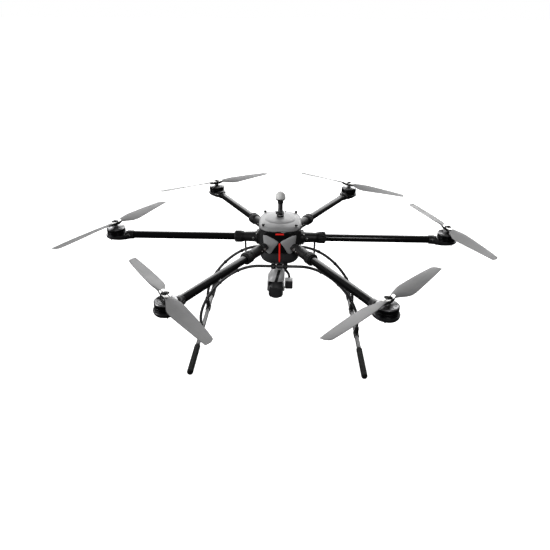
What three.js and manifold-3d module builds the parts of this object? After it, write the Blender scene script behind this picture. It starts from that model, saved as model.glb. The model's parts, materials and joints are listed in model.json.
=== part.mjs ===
// Six-armed multirotor: plug-in arms with locking collars, arched landing gear, folding satellite
// mast and a stabilised camera turret. Millimetres, +Z up. The origin is on the ground at the middle
// of the overall box, and the nose points along -Y. Left is -X and right is +X, facing the nose.
// Everything is drawn around the hub axis, and the last step moves it to that origin.
import * as THREE from 'three';
import { mergeVertices } from 'three/addons/utils/BufferGeometryUtils.js';
import Module from 'manifold-3d';

const wasm = await Module();
wasm.setup();

// Driving dimensions
// The hub axis is off the middle of the overall box, because each pair of blades rests at its own angle
const HUB_AXIS = [24.5, 30.1];
const MOTOR_CIRCLE_RADIUS = 675;
const GROUND_TO_ARM = 417.5;
const GAP = 0.3;
const ROUND = 16;

const TUBE_RADIUS = 15;
const TUBE_WALL = 2;
const SOCKET_BORE = 15.4;
const SOCKET_RADIUS = 19.5;
const PLUG_DEPTH = 42;
const COLLAR_LENGTH = 36;
const COLLAR_RADIUS = 24;
const COLLAR_OVERLAP = 20;

const POD_RADIUS = 42;
const POD_TOP = 3.5;
const POD_BOTTOM = -17.5;
const POD_NECK_START = 605;
const TUBE_END = 633;
const STATOR_RADIUS = 28;
const STATOR_TOP = 25;
const BELL_RADIUS = 37;
const BELL_BOTTOM = 9.5;
const BELL_TOP = 33.5;
const BOSS_RADIUS = 9;
const BOSS_TOP = 43;

const PROP_RADIUS = 304;
const PROP_HEIGHT = 50.5;
const PROP_HUB_RADIUS = 15;

const HUB_HALF_WIDTH = 80;
const HUB_HALF_DEPTH = 100;
const HUB_CORNER_X = 51;
const HUB_CORNER_Y = 83;
const HUB_WALL = 4;
const HUB_BOTTOM = 388.5;
const HUB_TOP = 480;
const BELLY_BOTTOM = 323;
const CANOPY_CROWN = 507;

const LEG_X = 332;
const ARCH_Y = 98;
const ARCH_Z = 331;
const ARCH_RADIUS = 6;
const ARCH_FLAT = 81;
const SKID_HEIGHT = 12;
const SKID_RADIUS = 8.5;
const SKID_HALF = 385;
const GRIP_LENGTH = 180;

const MAST_PIVOT = [0, 0, 521];
const MAST_RADIUS = 9.5;
const MAST_TOP = 573;

const YAW_AXIS = [0, -25];
const TILT_AXIS = [-14, -60, 210];
const BALL_RADIUS = 42;
const BALL_HALF_WIDTH = 30;
const YOKE_HALF_WIDTH = 35;
const YOKE_TOP = 290.7;

// Side arms leave the flank of the hub, corner arms leave its chamfers. For each: where the socket
// starts, the radius and length of its root, and where the collar starts, all along the arm.
const SIDE = { root: HUB_HALF_WIDTH + GAP, rootRadius: 25, rootLength: 16, collar: 148 };
const CORNER = { root: 113, rootRadius: 15, rootLength: 26, collar: 215 };

// The six arms, with the rest angle of each pair of blades
const ARMS = [
  { name: 'right', azimuth: 0, blades: 107.2, ...SIDE },
  { name: 'rear_right', azimuth: 60, blades: 142.4, ...CORNER },
  { name: 'rear_left', azimuth: 120, blades: 34.1, ...CORNER },
  { name: 'left', azimuth: 180, blades: 62.8, ...SIDE },
  { name: 'front_left', azimuth: 240, blades: 125.0, ...CORNER },
  { name: 'front_right', azimuth: 300, blades: 47.4, ...CORNER },
];

// Materials
const FINISHES = {
  carbon: [0x141416, 0.28, 0.1],
  blackPlastic: [0x17181a, 0.55, 0.0],
  collarBlack: [0x121213, 0.6, 0.0],
  canopyGrey: [0xb6b7b8, 0.42, 0.0],
  panelGrey: [0x77787a, 0.4, 0.0],
  bellyGrey: [0x3a3b3d, 0.45, 0.0],
  bladeGrey: [0x8d8e90, 0.4, 0.0],
  bellMetal: [0x6d6e70, 0.3, 0.9],
  gripFoam: [0x0f0f10, 0.9, 0.0],
  skidTube: [0x2c2d2f, 0.35, 0.2],
  domeWhite: [0xdcdcda, 0.4, 0.0],
  turretGrey: [0xb9babb, 0.42, 0.0],
  charcoal: [0x2b2c2e, 0.45, 0.0],
  glassDark: [0x303133, 0.12, 0.0],
  batteryBlue: [0x2d3540, 0.6, 0.0],
};

function part(name, geometry, finish) {
  const [color, roughness, metalness] = FINISHES[finish];
  const mesh = new THREE.Mesh(geometry, new THREE.MeshStandardMaterial({ color, roughness, metalness }));
  mesh.name = name;
  return mesh;
}

// Geometry helpers

// Shared vertices, no zero-area faces, and all faces pointing out
function weld(source) {
  const bare = source.clone();
  bare.deleteAttribute('normal');
  bare.deleteAttribute('uv');
  const merged = mergeVertices(bare, 1e-3);
  const index = Array.from(merged.index.array);
  const points = merged.attributes.position;
  const corners = [new THREE.Vector3(), new THREE.Vector3(), new THREE.Vector3()];
  const kept = [];
  let volume = 0;
  for (let i = 0; i < index.length; i += 3) {
    const face = index.slice(i, i + 3);
    if (new Set(face).size < 3) continue;
    face.forEach((v, k) => corners[k].fromBufferAttribute(points, v));
    volume += corners[0].dot(corners[1].clone().cross(corners[2]));
    kept.push(...face);
  }
  if (volume < 0) {
    for (let i = 0; i < kept.length; i += 3) [kept[i], kept[i + 1]] = [kept[i + 1], kept[i]];
  }
  merged.setIndex(kept);
  return merged;
}

function toSolid(geometry) {
  const closed = weld(geometry);
  const vertProperties = new Float32Array(closed.attributes.position.array);
  const triVerts = new Uint32Array(closed.index.array);
  return new wasm.Manifold(new wasm.Mesh({ numProp: 3, vertProperties, triVerts }));
}

function toGeometry(solid) {
  const mesh = solid.getMesh();
  const geometry = new THREE.BufferGeometry();
  geometry.setAttribute('position', new THREE.BufferAttribute(Float32Array.from(mesh.vertProperties), 3));
  geometry.setIndex(Array.from(mesh.triVerts));
  return geometry;
}

function combine(first, ...steps) {
  let solid = toSolid(first);
  for (const [verb, geometry] of steps) solid = solid[verb](toSolid(geometry));
  return toGeometry(solid);
}

// Body of revolution about Z, from [radius, height] points
function turned(profile, segments = ROUND) {
  const points = profile.map(([r, z]) => new THREE.Vector2(r, z));
  return weld(new THREE.LatheGeometry(points, segments).rotateX(Math.PI / 2));
}

// The same, but about X, from [radius, distance along X] points
function turnedX(profile, segments = ROUND) {
  return turned(profile, segments).rotateY(Math.PI / 2);
}

// The same, but about Y
function turnedY(profile, segments = ROUND) {
  return turned(profile, segments).rotateX(-Math.PI / 2);
}

function rod(radius, from, to, segments = ROUND) {
  return turned([[0, from], [radius, from], [radius, to], [0, to]], segments);
}

function block(x0, x1, y0, y1, z0, z1) {
  const box = new THREE.BoxGeometry(x1 - x0, y1 - y0, z1 - z0);
  return weld(box.translate((x0 + x1) / 2, (y0 + y1) / 2, (z0 + z1) / 2));
}

function outline(points) {
  return new THREE.Shape(points.map(([x, y]) => new THREE.Vector2(x, y)));
}

function prism(shape, from, to) {
  const raw = new THREE.ExtrudeGeometry(shape, { depth: to - from, bevelEnabled: false, curveSegments: 6 });
  return weld(raw.translate(0, 0, from));
}

// A solid skinned over closed rings that all have the same number of points, with flat ends
function lofted(rings) {
  const count = rings[0].length;
  const positions = rings.flat(2);
  const index = [];
  for (let r = 0; r + 1 < rings.length; r += 1) {
    for (let i = 0; i < count; i += 1) {
      const a = r * count + i;
      const b = r * count + ((i + 1) % count);
      index.push(a, b, b + count, a, b + count, a + count);
    }
  }
  const last = (rings.length - 1) * count;
  for (let i = 1; i + 1 < count; i += 1) {
    index.push(0, i + 1, i, last, last + i, last + i + 1);
  }
  const geometry = new THREE.BufferGeometry();
  geometry.setAttribute('position', new THREE.Float32BufferAttribute(positions, 3));
  geometry.setIndex(index);
  return weld(geometry);
}

// Rounded-octagon ring at a height: a superellipse of the given half width and half depth
function softRing(halfWidth, halfDepth, z, count = 20, power = 3.2) {
  const ring = [];
  for (let i = 0; i < count; i += 1) {
    const angle = (2 * Math.PI * (i + 0.5)) / count;
    const c = Math.cos(angle);
    const s = Math.sin(angle);
    const reach = (Math.abs(c) ** power + Math.abs(s) ** power) ** (-1 / power);
    ring.push([halfWidth * c * reach, halfDepth * s * reach, z]);
  }
  return ring;
}

function hubOctagon(offset) {
  const x = HUB_HALF_WIDTH + offset;
  const y = HUB_HALF_DEPTH + offset;
  const cx = HUB_CORNER_X + offset * 0.27;
  const cy = HUB_CORNER_Y + offset * 0.58;
  return [[x, -cy], [x, cy], [cx, y], [-cx, y], [-x, cy], [-x, -cy], [-cx, -y], [cx, -y]];
}

// Hub

function hubFrame() {
  const shell = outline(hubOctagon(0));
  shell.holes.push(new THREE.Path(outline(hubOctagon(-HUB_WALL)).getPoints().reverse()));
  const ring = prism(shell, HUB_BOTTOM, HUB_TOP);
  const deck = prism(outline(hubOctagon(-HUB_WALL / 2)), HUB_BOTTOM + 20, HUB_BOTTOM + 23);
  const wiring = rod(12, HUB_BOTTOM + 10, HUB_BOTTOM + 30).translate(0, 60, 0);
  return combine(ring, ['add', deck], ['subtract', wiring]);
}

// Dome-shaped lid: outer skin down to its rim, back up inside, with four knobs
function canopy() {
  const levels = [[1, 0], [0.985, 7], [0.9, 15], [0.64, 21.5], [0.6, 24], [0.3, 26.5]];
  const wall = 2.5;
  const rim = HUB_TOP + GAP;
  const width = HUB_HALF_WIDTH + 5;
  const depth = HUB_HALF_DEPTH + 4;
  const outer = levels.map(([scale, rise]) => softRing(width * scale, depth * scale, rim + rise));
  const inner = levels.map(([scale, rise]) => (
    softRing(width * scale - wall, depth * scale - wall, rim + Math.max(rise - wall, 0))
  ));
  let solid = toSolid(lofted([...inner.reverse(), ...outer]));
  for (const x of [-64, 64]) {
    for (const y of [-76, 76]) solid = solid.add(toSolid(rod(4.5, rim + 6, rim + 24, 10).translate(x, y, 0)));
  }
  return toGeometry(solid);
}

// Panel that wraps the nose of the hub
function frontFairing() {
  const edge = 66;
  const chamferSlope = (HUB_HALF_DEPTH - HUB_CORNER_Y) / (HUB_HALF_WIDTH - HUB_CORNER_X);
  const back = -HUB_HALF_DEPTH - 0.5;
  const backEdge = back + (edge - HUB_CORNER_X) * chamferSlope;
  const thickness = 7;
  const band = outline([
    [-edge, backEdge - thickness], [-HUB_CORNER_X, back - thickness],
    [HUB_CORNER_X, back - thickness], [edge, backEdge - thickness],
    [edge, backEdge], [HUB_CORNER_X, back], [-HUB_CORNER_X, back], [-edge, backEdge],
  ]);
  const face = outline([
    [-64, HUB_TOP], [-64, GROUND_TO_ARM + 24], [-44, HUB_BOTTOM + 12], [-36, HUB_BOTTOM + 6],
    [36, HUB_BOTTOM + 6], [44, HUB_BOTTOM + 12], [64, GROUND_TO_ARM + 24], [64, HUB_TOP],
  ]);
  const silhouette = prism(face, 0, 200).rotateX(Math.PI / 2);
  const clearance = CORNER.rootRadius + 1;
  const sockets = [240, 300].map((azimuth) => (
    turnedX([[0, 60], [clearance, 60], [clearance, 160], [0, 160]])
      .rotateZ((azimuth * Math.PI) / 180)
      .translate(0, 0, GROUND_TO_ARM)
  ));
  return combine(
    prism(band, HUB_BOTTOM + 6, HUB_TOP),
    ['intersect', silhouette],
    ...sockets.map((cut) => ['subtract', cut]),
  );
}

// Bowl under the hub, open at the top, with a flat round pad for the turret
function bellyShell() {
  const levels = [[1, 0], [0.995, -22], [0.945, -38], [0.83, -51], [0.66, -60.5], [0.4, -65.2]];
  const wall = 3;
  const rim = HUB_BOTTOM - GAP;
  const width = HUB_HALF_WIDTH + 4;
  const depth = HUB_HALF_DEPTH + 2;
  const outer = levels.map(([scale, rise]) => softRing(width * scale, depth * scale, rim + rise));
  const inner = levels.map(([scale, rise], i) => (
    softRing(width * scale - wall, depth * scale - wall, rim + rise + (i === 0 ? 0 : wall))
  ));
  return lofted([...outer.reverse(), ...inner]);
}

// Arms

function armGroup(azimuth, ...meshes) {
  const group = new THREE.Group();
  group.position.z = GROUND_TO_ARM;
  group.rotation.z = (azimuth * Math.PI) / 180;
  group.add(...meshes);
  return group;
}

// Blind tube on a root that meets the hub
function rootSocket(arm) {
  const mouth = arm.collar + COLLAR_OVERLAP - 1;
  const floor = arm.collar + COLLAR_OVERLAP - PLUG_DEPTH;
  const rootEnd = arm.root + arm.rootLength;
  return turnedX([
    [0, arm.root], [arm.rootRadius, arm.root], [arm.rootRadius, rootEnd], [SOCKET_RADIUS, rootEnd + 9],
    [SOCKET_RADIUS, mouth], [SOCKET_BORE, mouth], [SOCKET_BORE, floor], [0, floor],
  ]);
}

function armTube(arm) {
  const start = arm.collar + COLLAR_OVERLAP - PLUG_DEPTH + 1;
  const bore = TUBE_RADIUS - TUBE_WALL;
  return turnedX([[bore, start], [TUBE_RADIUS, start], [TUBE_RADIUS, TUBE_END], [bore, TUBE_END], [bore, start]]);
}

function lockCollar(arm) {
  const start = arm.collar;
  const step = start + COLLAR_OVERLAP;
  const end = start + COLLAR_LENGTH;
  const wide = SOCKET_RADIUS + 0.7;
  const narrow = TUBE_RADIUS + 0.4;
  return turnedX([
    [wide, start], [wide + 1.3, start], [COLLAR_RADIUS, start + 11], [COLLAR_RADIUS, end - 2],
    [COLLAR_RADIUS - 2, end], [narrow, end], [narrow, step], [wide, step], [wide, start],
  ]);
}

// Round pod under the motor, a neck that grips the tube, and the stator inside the bell
function motorPod() {
  const disc = turned([
    [0, POD_BOTTOM], [30, POD_BOTTOM], [38, POD_BOTTOM + 5], [POD_RADIUS, -2], [POD_RADIUS, POD_TOP],
    [STATOR_RADIUS, POD_TOP], [STATOR_RADIUS, STATOR_TOP], [0, STATOR_TOP],
  ]).translate(MOTOR_CIRCLE_RADIUS, 0, 0);
  const neck = turnedX([[0, POD_NECK_START], [17.5, POD_NECK_START], [20, MOTOR_CIRCLE_RADIUS - 20],
    [0, MOTOR_CIRCLE_RADIUS - 20]]);
  const headroom = block(MOTOR_CIRCLE_RADIUS - BELL_RADIUS - 2, 720, -60, 60, POD_TOP, 40);
  const bore = turnedX([[0, 590], [TUBE_RADIUS + GAP, 590], [TUBE_RADIUS + GAP, TUBE_END + 1], [0, TUBE_END + 1]]);
  const trimmedNeck = combine(neck, ['subtract', headroom]);
  return combine(disc, ['add', trimmedNeck], ['subtract', bore]);
}

function motorBell() {
  return turned([
    [BELL_RADIUS - 3, BELL_BOTTOM], [BELL_RADIUS, BELL_BOTTOM], [BELL_RADIUS, BELL_TOP - 5],
    [BELL_RADIUS - 5, BELL_TOP], [BOSS_RADIUS, BELL_TOP + 1.5], [BOSS_RADIUS, BOSS_TOP], [0, BOSS_TOP],
    [0, STATOR_TOP + 3], [BELL_RADIUS - 6, STATOR_TOP + 3], [BELL_RADIUS - 3, STATOR_TOP], [BELL_RADIUS - 3, BELL_BOTTOM],
  ]).translate(MOTOR_CIRCLE_RADIUS, 0, 0);
}

// How far a blade reaches to each side of its axis, and its pitch, at a fraction of the radius
function bladeReach(t) {
  const grow = Math.min(Math.max(t - 0.05, 0) / 0.25, 1);
  const full = grow * grow * (3 - 2 * grow);
  const taper = Math.max(t - 0.36, 0) / 0.64;
  return { lead: 11 + 9.5 * full - 6 * taper ** 3, trail: 11 + 22.5 * full - 18 * taper ** 1.15 };
}

function bladePitch(t) {
  const steepest = 15;
  const tip = 2;
  return (Math.min(t / 0.16, 1) * (steepest - (steepest - tip) * Math.max(t - 0.35, 0) / 0.65) * Math.PI) / 180;
}

// One section of a blade, looking outward: leading edge on the +Y side
function bladeSection(t) {
  const { lead, trail } = bladeReach(t);
  const pitch = bladePitch(t);
  const thick = 9 - 6.8 * Math.min(t / 0.5, 1);
  const shape = [[0, 0], [0.2, 0.5], [0.65, 0.42], [1, 0.04], [0.65, -0.3], [0.2, -0.4]];
  return shape.map(([u, v]) => {
    const along = lead - (1 - u) * (lead + trail);
    const up = v * thick;
    return [
      t * PROP_RADIUS,
      along * Math.cos(pitch) - up * Math.sin(pitch),
      along * Math.sin(pitch) + up * Math.cos(pitch),
    ];
  });
}

function propeller(restAngle) {
  const stations = [0.03, 0.11, 0.16, 0.21, 0.28, 0.38, 0.54, 0.72, 0.88, 1];
  const blade = lofted(stations.map(bladeSection));
  const opposite = blade.clone().rotateZ(Math.PI);
  const hub = rod(PROP_HUB_RADIUS, -6.5, 5, 16);
  return combine(hub, ['add', blade], ['add', opposite])
    .rotateZ((restAngle * Math.PI) / 180)
    .translate(MOTOR_CIRCLE_RADIUS, 0, PROP_HEIGHT);
}

function arm(spec) {
  const name = spec.name;
  return armGroup(
    spec.azimuth,
    part(`socket_${name}`, rootSocket(spec), 'blackPlastic'),
    part(`arm_tube_${name}`, armTube(spec), 'carbon'),
    part(`lock_collar_${name}`, lockCollar(spec), 'collarBlack'),
    part(`motor_mount_${name}`, motorPod(), 'blackPlastic'),
    part(`motor_bell_${name}`, motorBell(), 'bellMetal'),
    part(`propeller_${name}`, propeller(spec.blades - spec.azimuth), 'bladeGrey'),
  );
}

// Landing gear

// Bent tube in a plane across the craft, a saddle under the belly, and a sleeve on each skid
function landingArch(side) {
  const kneeZ = 73;
  const sides = 8;
  const start = new THREE.Vector3(ARCH_FLAT, 0, ARCH_Z);
  const foot = SKID_HEIGHT + SKID_RADIUS;
  const bend = new THREE.CubicBezierCurve3(
    start, new THREE.Vector3(215, 0, ARCH_Z), new THREE.Vector3(LEG_X, 0, 165), new THREE.Vector3(LEG_X, 0, kneeZ),
  );
  const half = [...bend.getPoints(9), new THREE.Vector3(LEG_X, 0, foot)];
  const mirrored = half.map((p) => new THREE.Vector3(-p.x, 0, p.z)).reverse();
  const rings = [...mirrored, ...half].map((p, i, path) => {
    const before = path[Math.max(i - 1, 0)];
    const after = path[Math.min(i + 1, path.length - 1)];
    const run = after.clone().sub(before).normalize();
    const ring = [];
    for (let k = 0; k < sides; k += 1) {
      const turn = (2 * Math.PI * k) / sides;
      const across = ARCH_RADIUS * Math.cos(turn);
      ring.push([p.x - run.z * across, ARCH_RADIUS * Math.sin(turn), p.z + run.x * across]);
    }
    return ring;
  });
  const sleeve = turnedY([[0, -18], [SKID_RADIUS + 3, -18], [SKID_RADIUS + 3, 18], [0, 18]], 16);
  const bore = turnedY([[0, -30], [SKID_RADIUS + GAP, -30], [SKID_RADIUS + GAP, 30], [0, 30]], 16);
  const saddle = block(-34, 34, -13, 9, ARCH_Z - 7, ARCH_Z + 3);
  const steps = [['add', saddle]];
  for (const x of [-LEG_X, LEG_X]) steps.push(['add', sleeve.clone().translate(x, 0, SKID_HEIGHT)]);
  for (const x of [-LEG_X, LEG_X]) steps.push(['subtract', bore.clone().translate(x, 0, SKID_HEIGHT)]);
  const arch = combine(lofted(rings), ...steps);
  const facing = side < 0 ? arch : arch.rotateZ(Math.PI);
  return facing.translate(0, side * ARCH_Y, 0);
}

function skid(x) {
  const half = SKID_HALF - 6;
  return turnedY([[0, -half], [SKID_RADIUS, -half], [SKID_RADIUS, half], [0, half]], 16).translate(x, 0, SKID_HEIGHT);
}

// Foam sleeve with a closed outer end; its lowest facet is flat on the ground
function grip(x, end) {
  const facets = 16;
  const outer = SKID_HEIGHT / Math.cos(Math.PI / facets);
  const bore = SKID_RADIUS + 0.5;
  const sleeve = turnedY([
    [bore, 0], [outer - 1, 0], [outer, 3], [outer, GRIP_LENGTH - 6], [outer - 5, GRIP_LENGTH],
    [0, GRIP_LENGTH], [0, GRIP_LENGTH - 5], [bore, GRIP_LENGTH - 5], [bore, 0],
  ], facets);
  sleeve.rotateY(Math.PI / facets);
  if (end < 0) sleeve.rotateZ(Math.PI);
  return sleeve.translate(x, end * (SKID_HALF - GRIP_LENGTH), SKID_HEIGHT);
}

// Satellite mast

function mastBase() {
  const [px, py, pz] = MAST_PIVOT;
  const disc = turned([[0, CANOPY_CROWN + GAP], [14.5, CANOPY_CROWN + GAP], [14.5, pz - 11], [0, pz - 11]]);
  const cheek = (x) => block(x, x + 3.5, py - 6.5, py + 6.5, pz - 13, pz + 6);
  return combine(disc, ['add', cheek(px + MAST_RADIUS + GAP)], ['add', cheek(px - MAST_RADIUS - GAP - 3.5)]);
}

function gpsMast() {
  const [, , pz] = MAST_PIVOT;
  const knuckle = turnedX([[0, -MAST_RADIUS], [MAST_RADIUS, -MAST_RADIUS], [MAST_RADIUS, MAST_RADIUS], [0, MAST_RADIUS]]);
  return combine(rod(MAST_RADIUS, pz, MAST_TOP), ['add', knuckle.translate(0, 0, pz)]);
}

function gpsDome() {
  const base = MAST_TOP + GAP;
  return turned([
    [0, base], [13, base], [19, base + 5], [20.7, base + 14], [19.5, base + 24], [14.5, base + 33],
    [8, base + 37.5], [0, base + 39],
  ]);
}

// Camera turret

function gimbalMount() {
  const top = BELLY_BOTTOM - 0.3;
  return turned([[0, YOKE_TOP + GAP], [13.5, YOKE_TOP + GAP], [13.5, top - 9], [30, top - 7], [30, top], [0, top]])
    .translate(YAW_AXIS[0], YAW_AXIS[1], 0);
}

// Fork: a front outline with a slot for the ball, crossed with a side outline
function gimbalYoke() {
  const [cx, cy, cz] = TILT_AXIS;
  const slot = BALL_HALF_WIDTH + 0.5;
  const front = outline([
    [-12, YOKE_TOP], [-23, YOKE_TOP - 12], [-31, YOKE_TOP - 30], [-YOKE_HALF_WIDTH, cz + 30],
    [-YOKE_HALF_WIDTH, cz - 12], [-slot, cz - 12], [-slot, cz + BALL_RADIUS + 1.5],
    [slot, cz + BALL_RADIUS + 1.5], [slot, cz - 12], [YOKE_HALF_WIDTH, cz - 12],
    [YOKE_HALF_WIDTH, YOKE_TOP - 12], [31, YOKE_TOP],
  ]);
  const body = prism(front, -60, 90).rotateX(Math.PI / 2).translate(cx, 0, 0);
  const profile = outline([
    [-70, YOKE_TOP], [-84, YOKE_TOP - 12], [-87, YOKE_TOP - 28], [-82, cz + 24], [-74, cz - 4], [-67, cz - 11],
    [-53, cz - 11], [-45, cz - 4], [-26, cz + 30], [4, cz + 50], [8, YOKE_TOP - 10], [4, YOKE_TOP],
  ]);
  const side = prism(profile, -60, 60).rotateX(Math.PI / 2).rotateZ(Math.PI / 2).translate(cx, 0, 0);
  const axle = turnedX([[0, -60], [6.6, -60], [6.6, 60], [0, 60]], 16).translate(cx, cy, cz);
  const shoulder = new THREE.LineCurve3(
    new THREE.Vector3(14, -8, YOKE_TOP - 13.7),
    new THREE.Vector3(40, -40, YOKE_TOP - 32.7),
  );
  const strut = new THREE.ExtrudeGeometry(outline([[-5, -4], [5, -4], [5, 4], [-5, 4]]), {
    extrudePath: shoulder, steps: 1, bevelEnabled: false,
  });
  return combine(body, ['intersect', side], ['subtract', axle], ['add', strut]);
}

// Truncated ball with a flat nose and an axle stub on each side
function cameraBody() {
  const [cx, cy, cz] = TILT_AXIS;
  const ball = new THREE.SphereGeometry(BALL_RADIUS, 16, 12).rotateZ(Math.PI / 2);
  const trim = block(-BALL_HALF_WIDTH, BALL_HALF_WIDTH, -BALL_RADIUS + 6, 50, -50, 50);
  const axle = turnedX([[0, -34.5], [6, -34.5], [6, 34.5], [0, 34.5]], 16);
  const recess = block(-24, 24, -60, -BALL_RADIUS + 8.5, -19, 19);
  return combine(ball, ['intersect', trim], ['add', axle], ['subtract', recess]).translate(cx, cy, cz);
}

function cameraWindow() {
  const [cx, cy, cz] = TILT_AXIS;
  const front = cy - BALL_RADIUS + 6.2;
  return block(cx - 23.6, cx + 23.6, front, front + 2, cz - 18.6, cz + 18.6);
}

function tiltDrive() {
  const top = YOKE_TOP - 37.7;
  return combine(
    block(23, 56, -78, -35.5, top - 38, top),
    ['add', block(26, 53, -35.5, -32, top - 34, top - 6)],
  );
}

// Assembly

const drone = new THREE.Group();
for (const spec of ARMS) drone.add(arm(spec));

drone.add(
  part('hub_frame', hubFrame(), 'blackPlastic'),
  part('canopy', canopy(), 'canopyGrey'),
  part('front_fairing', frontFairing(), 'panelGrey'),
  part('belly_shell', bellyShell(), 'bellyGrey'),
  part('battery_pack', block(-52, 52, -72, 40, HUB_BOTTOM + 24, HUB_TOP - 10), 'batteryBlue'),
  part('flight_controller', block(-35, 35, -32, 32, HUB_TOP - 4, HUB_TOP + 12), 'charcoal'),
);

for (const [name, side] of [['front', -1], ['rear', 1]]) {
  drone.add(part(`landing_arch_${name}`, landingArch(side), 'skidTube'));
}

for (const [name, x] of [['left', -LEG_X], ['right', LEG_X]]) {
  drone.add(
    part(`skid_${name}`, skid(x), 'skidTube'),
    part(`grip_front_${name}`, grip(x, -1), 'gripFoam'),
    part(`grip_rear_${name}`, grip(x, 1), 'gripFoam'),
    part(`antenna_${name}`, rod(4, -115, -SOCKET_RADIUS - 0.5, 10).translate(x < 0 ? -142.5 : 142.5, 0, GROUND_TO_ARM),
      'carbon'),
  );
}

drone.add(
  part('mast_base', mastBase(), 'blackPlastic'),
  part('gps_mast', gpsMast(), 'blackPlastic'),
  part('gps_dome', gpsDome(), 'domeWhite'),
  part('gimbal_mount', gimbalMount(), 'blackPlastic'),
  part('gimbal_yoke', gimbalYoke(), 'turretGrey'),
  part('camera_body', cameraBody(), 'charcoal'),
  part('camera_window', cameraWindow(), 'glassDark'),
  part('tilt_drive', tiltDrive(), 'turretGrey'),
);

drone.position.set(HUB_AXIS[0], HUB_AXIS[1], 0);

export default drone;
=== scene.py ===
import json
import math

import bmesh
import bpy
import numpy as np
from mathutils import Matrix, Vector


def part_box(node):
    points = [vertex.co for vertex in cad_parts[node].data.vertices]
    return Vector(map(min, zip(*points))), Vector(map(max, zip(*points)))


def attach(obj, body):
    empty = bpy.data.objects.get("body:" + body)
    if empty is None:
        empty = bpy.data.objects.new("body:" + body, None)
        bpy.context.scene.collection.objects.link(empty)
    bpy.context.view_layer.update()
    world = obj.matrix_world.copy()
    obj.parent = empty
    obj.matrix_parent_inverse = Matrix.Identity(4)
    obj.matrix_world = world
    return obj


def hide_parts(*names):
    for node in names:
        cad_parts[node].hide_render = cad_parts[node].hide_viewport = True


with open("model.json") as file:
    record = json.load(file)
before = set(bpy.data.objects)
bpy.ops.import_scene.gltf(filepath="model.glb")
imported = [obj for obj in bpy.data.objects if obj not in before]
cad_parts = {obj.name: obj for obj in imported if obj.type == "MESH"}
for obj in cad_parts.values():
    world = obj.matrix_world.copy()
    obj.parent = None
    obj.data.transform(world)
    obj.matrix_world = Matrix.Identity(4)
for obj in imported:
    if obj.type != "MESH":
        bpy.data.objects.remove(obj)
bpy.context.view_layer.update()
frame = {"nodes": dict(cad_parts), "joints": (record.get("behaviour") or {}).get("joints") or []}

TAU = 2 * math.pi

JOINTS = {j["name"]: j for j in frame["joints"]}
HUB = Vector((JOINTS["mast_fold"]["pos_m"][0], JOINTS["mast_fold"]["pos_m"][1], 0))
HUB_MM = HUB * 1000
ARM_Z = JOINTS["lock_right"]["pos_m"][2] * 1000
MOTOR_R = JOINTS["spin_right"]["pos_m"][0] * 1000 - HUB_MM.x
PROP_Z = 50.5  # middle of a propeller above the arm axis, in mm
BLADE_LENGTH = 304
NOSE_BOW = 0.0019  # the nose falls back by this times the square of the distance from its middle
GRIP_RADIUS = 12.0
ARMS = ["right", "rear_right", "rear_left", "left", "front_left", "front_right"]
# Rest angle of each pair of blades, in degrees
BLADES = {"right": 107.2, "rear_right": 142.4, "rear_left": 34.1,
          "left": 62.8, "front_left": 125.0, "front_right": 47.4}


def azimuth(name):
    axis = JOINTS["plug_" + name]["axis"]
    return math.atan2(axis[1], axis[0])


def corners(node):
    """The box of a node, in mm from the hub axis."""
    low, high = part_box(node)
    return low * 1000 - HUB_MM, high * 1000 - HUB_MM


def pivot(joint):
    return Vector(JOINTS[joint]["pos_m"]) * 1000 - HUB_MM


def reach(node, angle):
    """Where a node starts and ends along a line from the hub axis at that angle, in mm."""
    co = np.array([v.co for v in frame["nodes"][node].data.vertices]) * 1000 - np.array(HUB_MM)
    along = co[:, 0] * math.cos(angle) + co[:, 1] * math.sin(angle)
    return along.min(), along.max()


# ---- shapes

def rounded(points, radius, steps=3, closed=False):
    """A line or closed outline with its corners rounded. A third number on a point is its own radius."""
    n = len(points)
    flat = [Vector(p[:2]) for p in points]
    share, straight = (0.48, 0) if closed else (0.45, math.radians(10))
    out = [] if closed else flat[:1]
    for k in range(n) if closed else range(1, n - 1):
        p, own = flat[k], points[k][2] if len(points[k]) > 2 else radius
        a, b = flat[k - 1] - p, flat[(k + 1) % n] - p
        cut = min(own, share * a.length, share * b.length)
        if cut < 0.03 or a.angle(-b) < straight:
            out.append(p)
            continue
        s, e = p + a.normalized() * cut, p + b.normalized() * cut
        out += [s.lerp(p, t).lerp(p.lerp(e, t), t) for t in (i / steps for i in range(steps + 1))]
    return out if closed else out + flat[-1:]


def rounded_loop(points, radius, steps=4):
    return rounded(points, radius, steps, closed=True)


def oblong(half, low, high, radius, steps=4):
    """A rectangle with round corners, centred in X."""
    return rounded_loop([(-half, low), (half, low), (half, high), (-half, high)], radius, steps)


def levelled(*rings):
    """Closed rings from pairs of a flat outline and its height."""
    return [[(p[0], p[1], z) for p in outline] for outline, z in rings]


def outward(path):
    """Each point of a line in Y and Z with the direction square to it that points forward or up."""
    pairs = []
    for k, here in enumerate(path):
        run = Vector(path[min(k + 1, len(path) - 1)][:2]) - Vector(path[max(k - 1, 0)][:2])
        out = Vector((-run.y, run.x)).normalized()
        if out.x > 0 or (abs(out.x) < 0.3 and out.y < 0):
            out = -out
        pairs.append((Vector(here[:2]), out))
    return pairs


def smooth_through(points, steps=6):
    """A Catmull-Rom line through points of any dimension."""
    pts = [np.array(p, float) for p in points]
    pts = [2 * pts[0] - pts[1], *pts, 2 * pts[-1] - pts[-2]]
    out = []
    for a, b, c, d in zip(pts, pts[1:], pts[2:], pts[3:]):
        for k in range(steps):
            t = k / steps
            out.append(0.5 * (2 * b + (c - a) * t + (2 * a - 5 * b + 4 * c - d) * t * t
                              + (3 * b - a - 3 * c + d) * t ** 3))
    out.append(pts[-2])
    return out


def signed_power(value, power):
    return math.copysign(abs(value) ** power, value)


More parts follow.
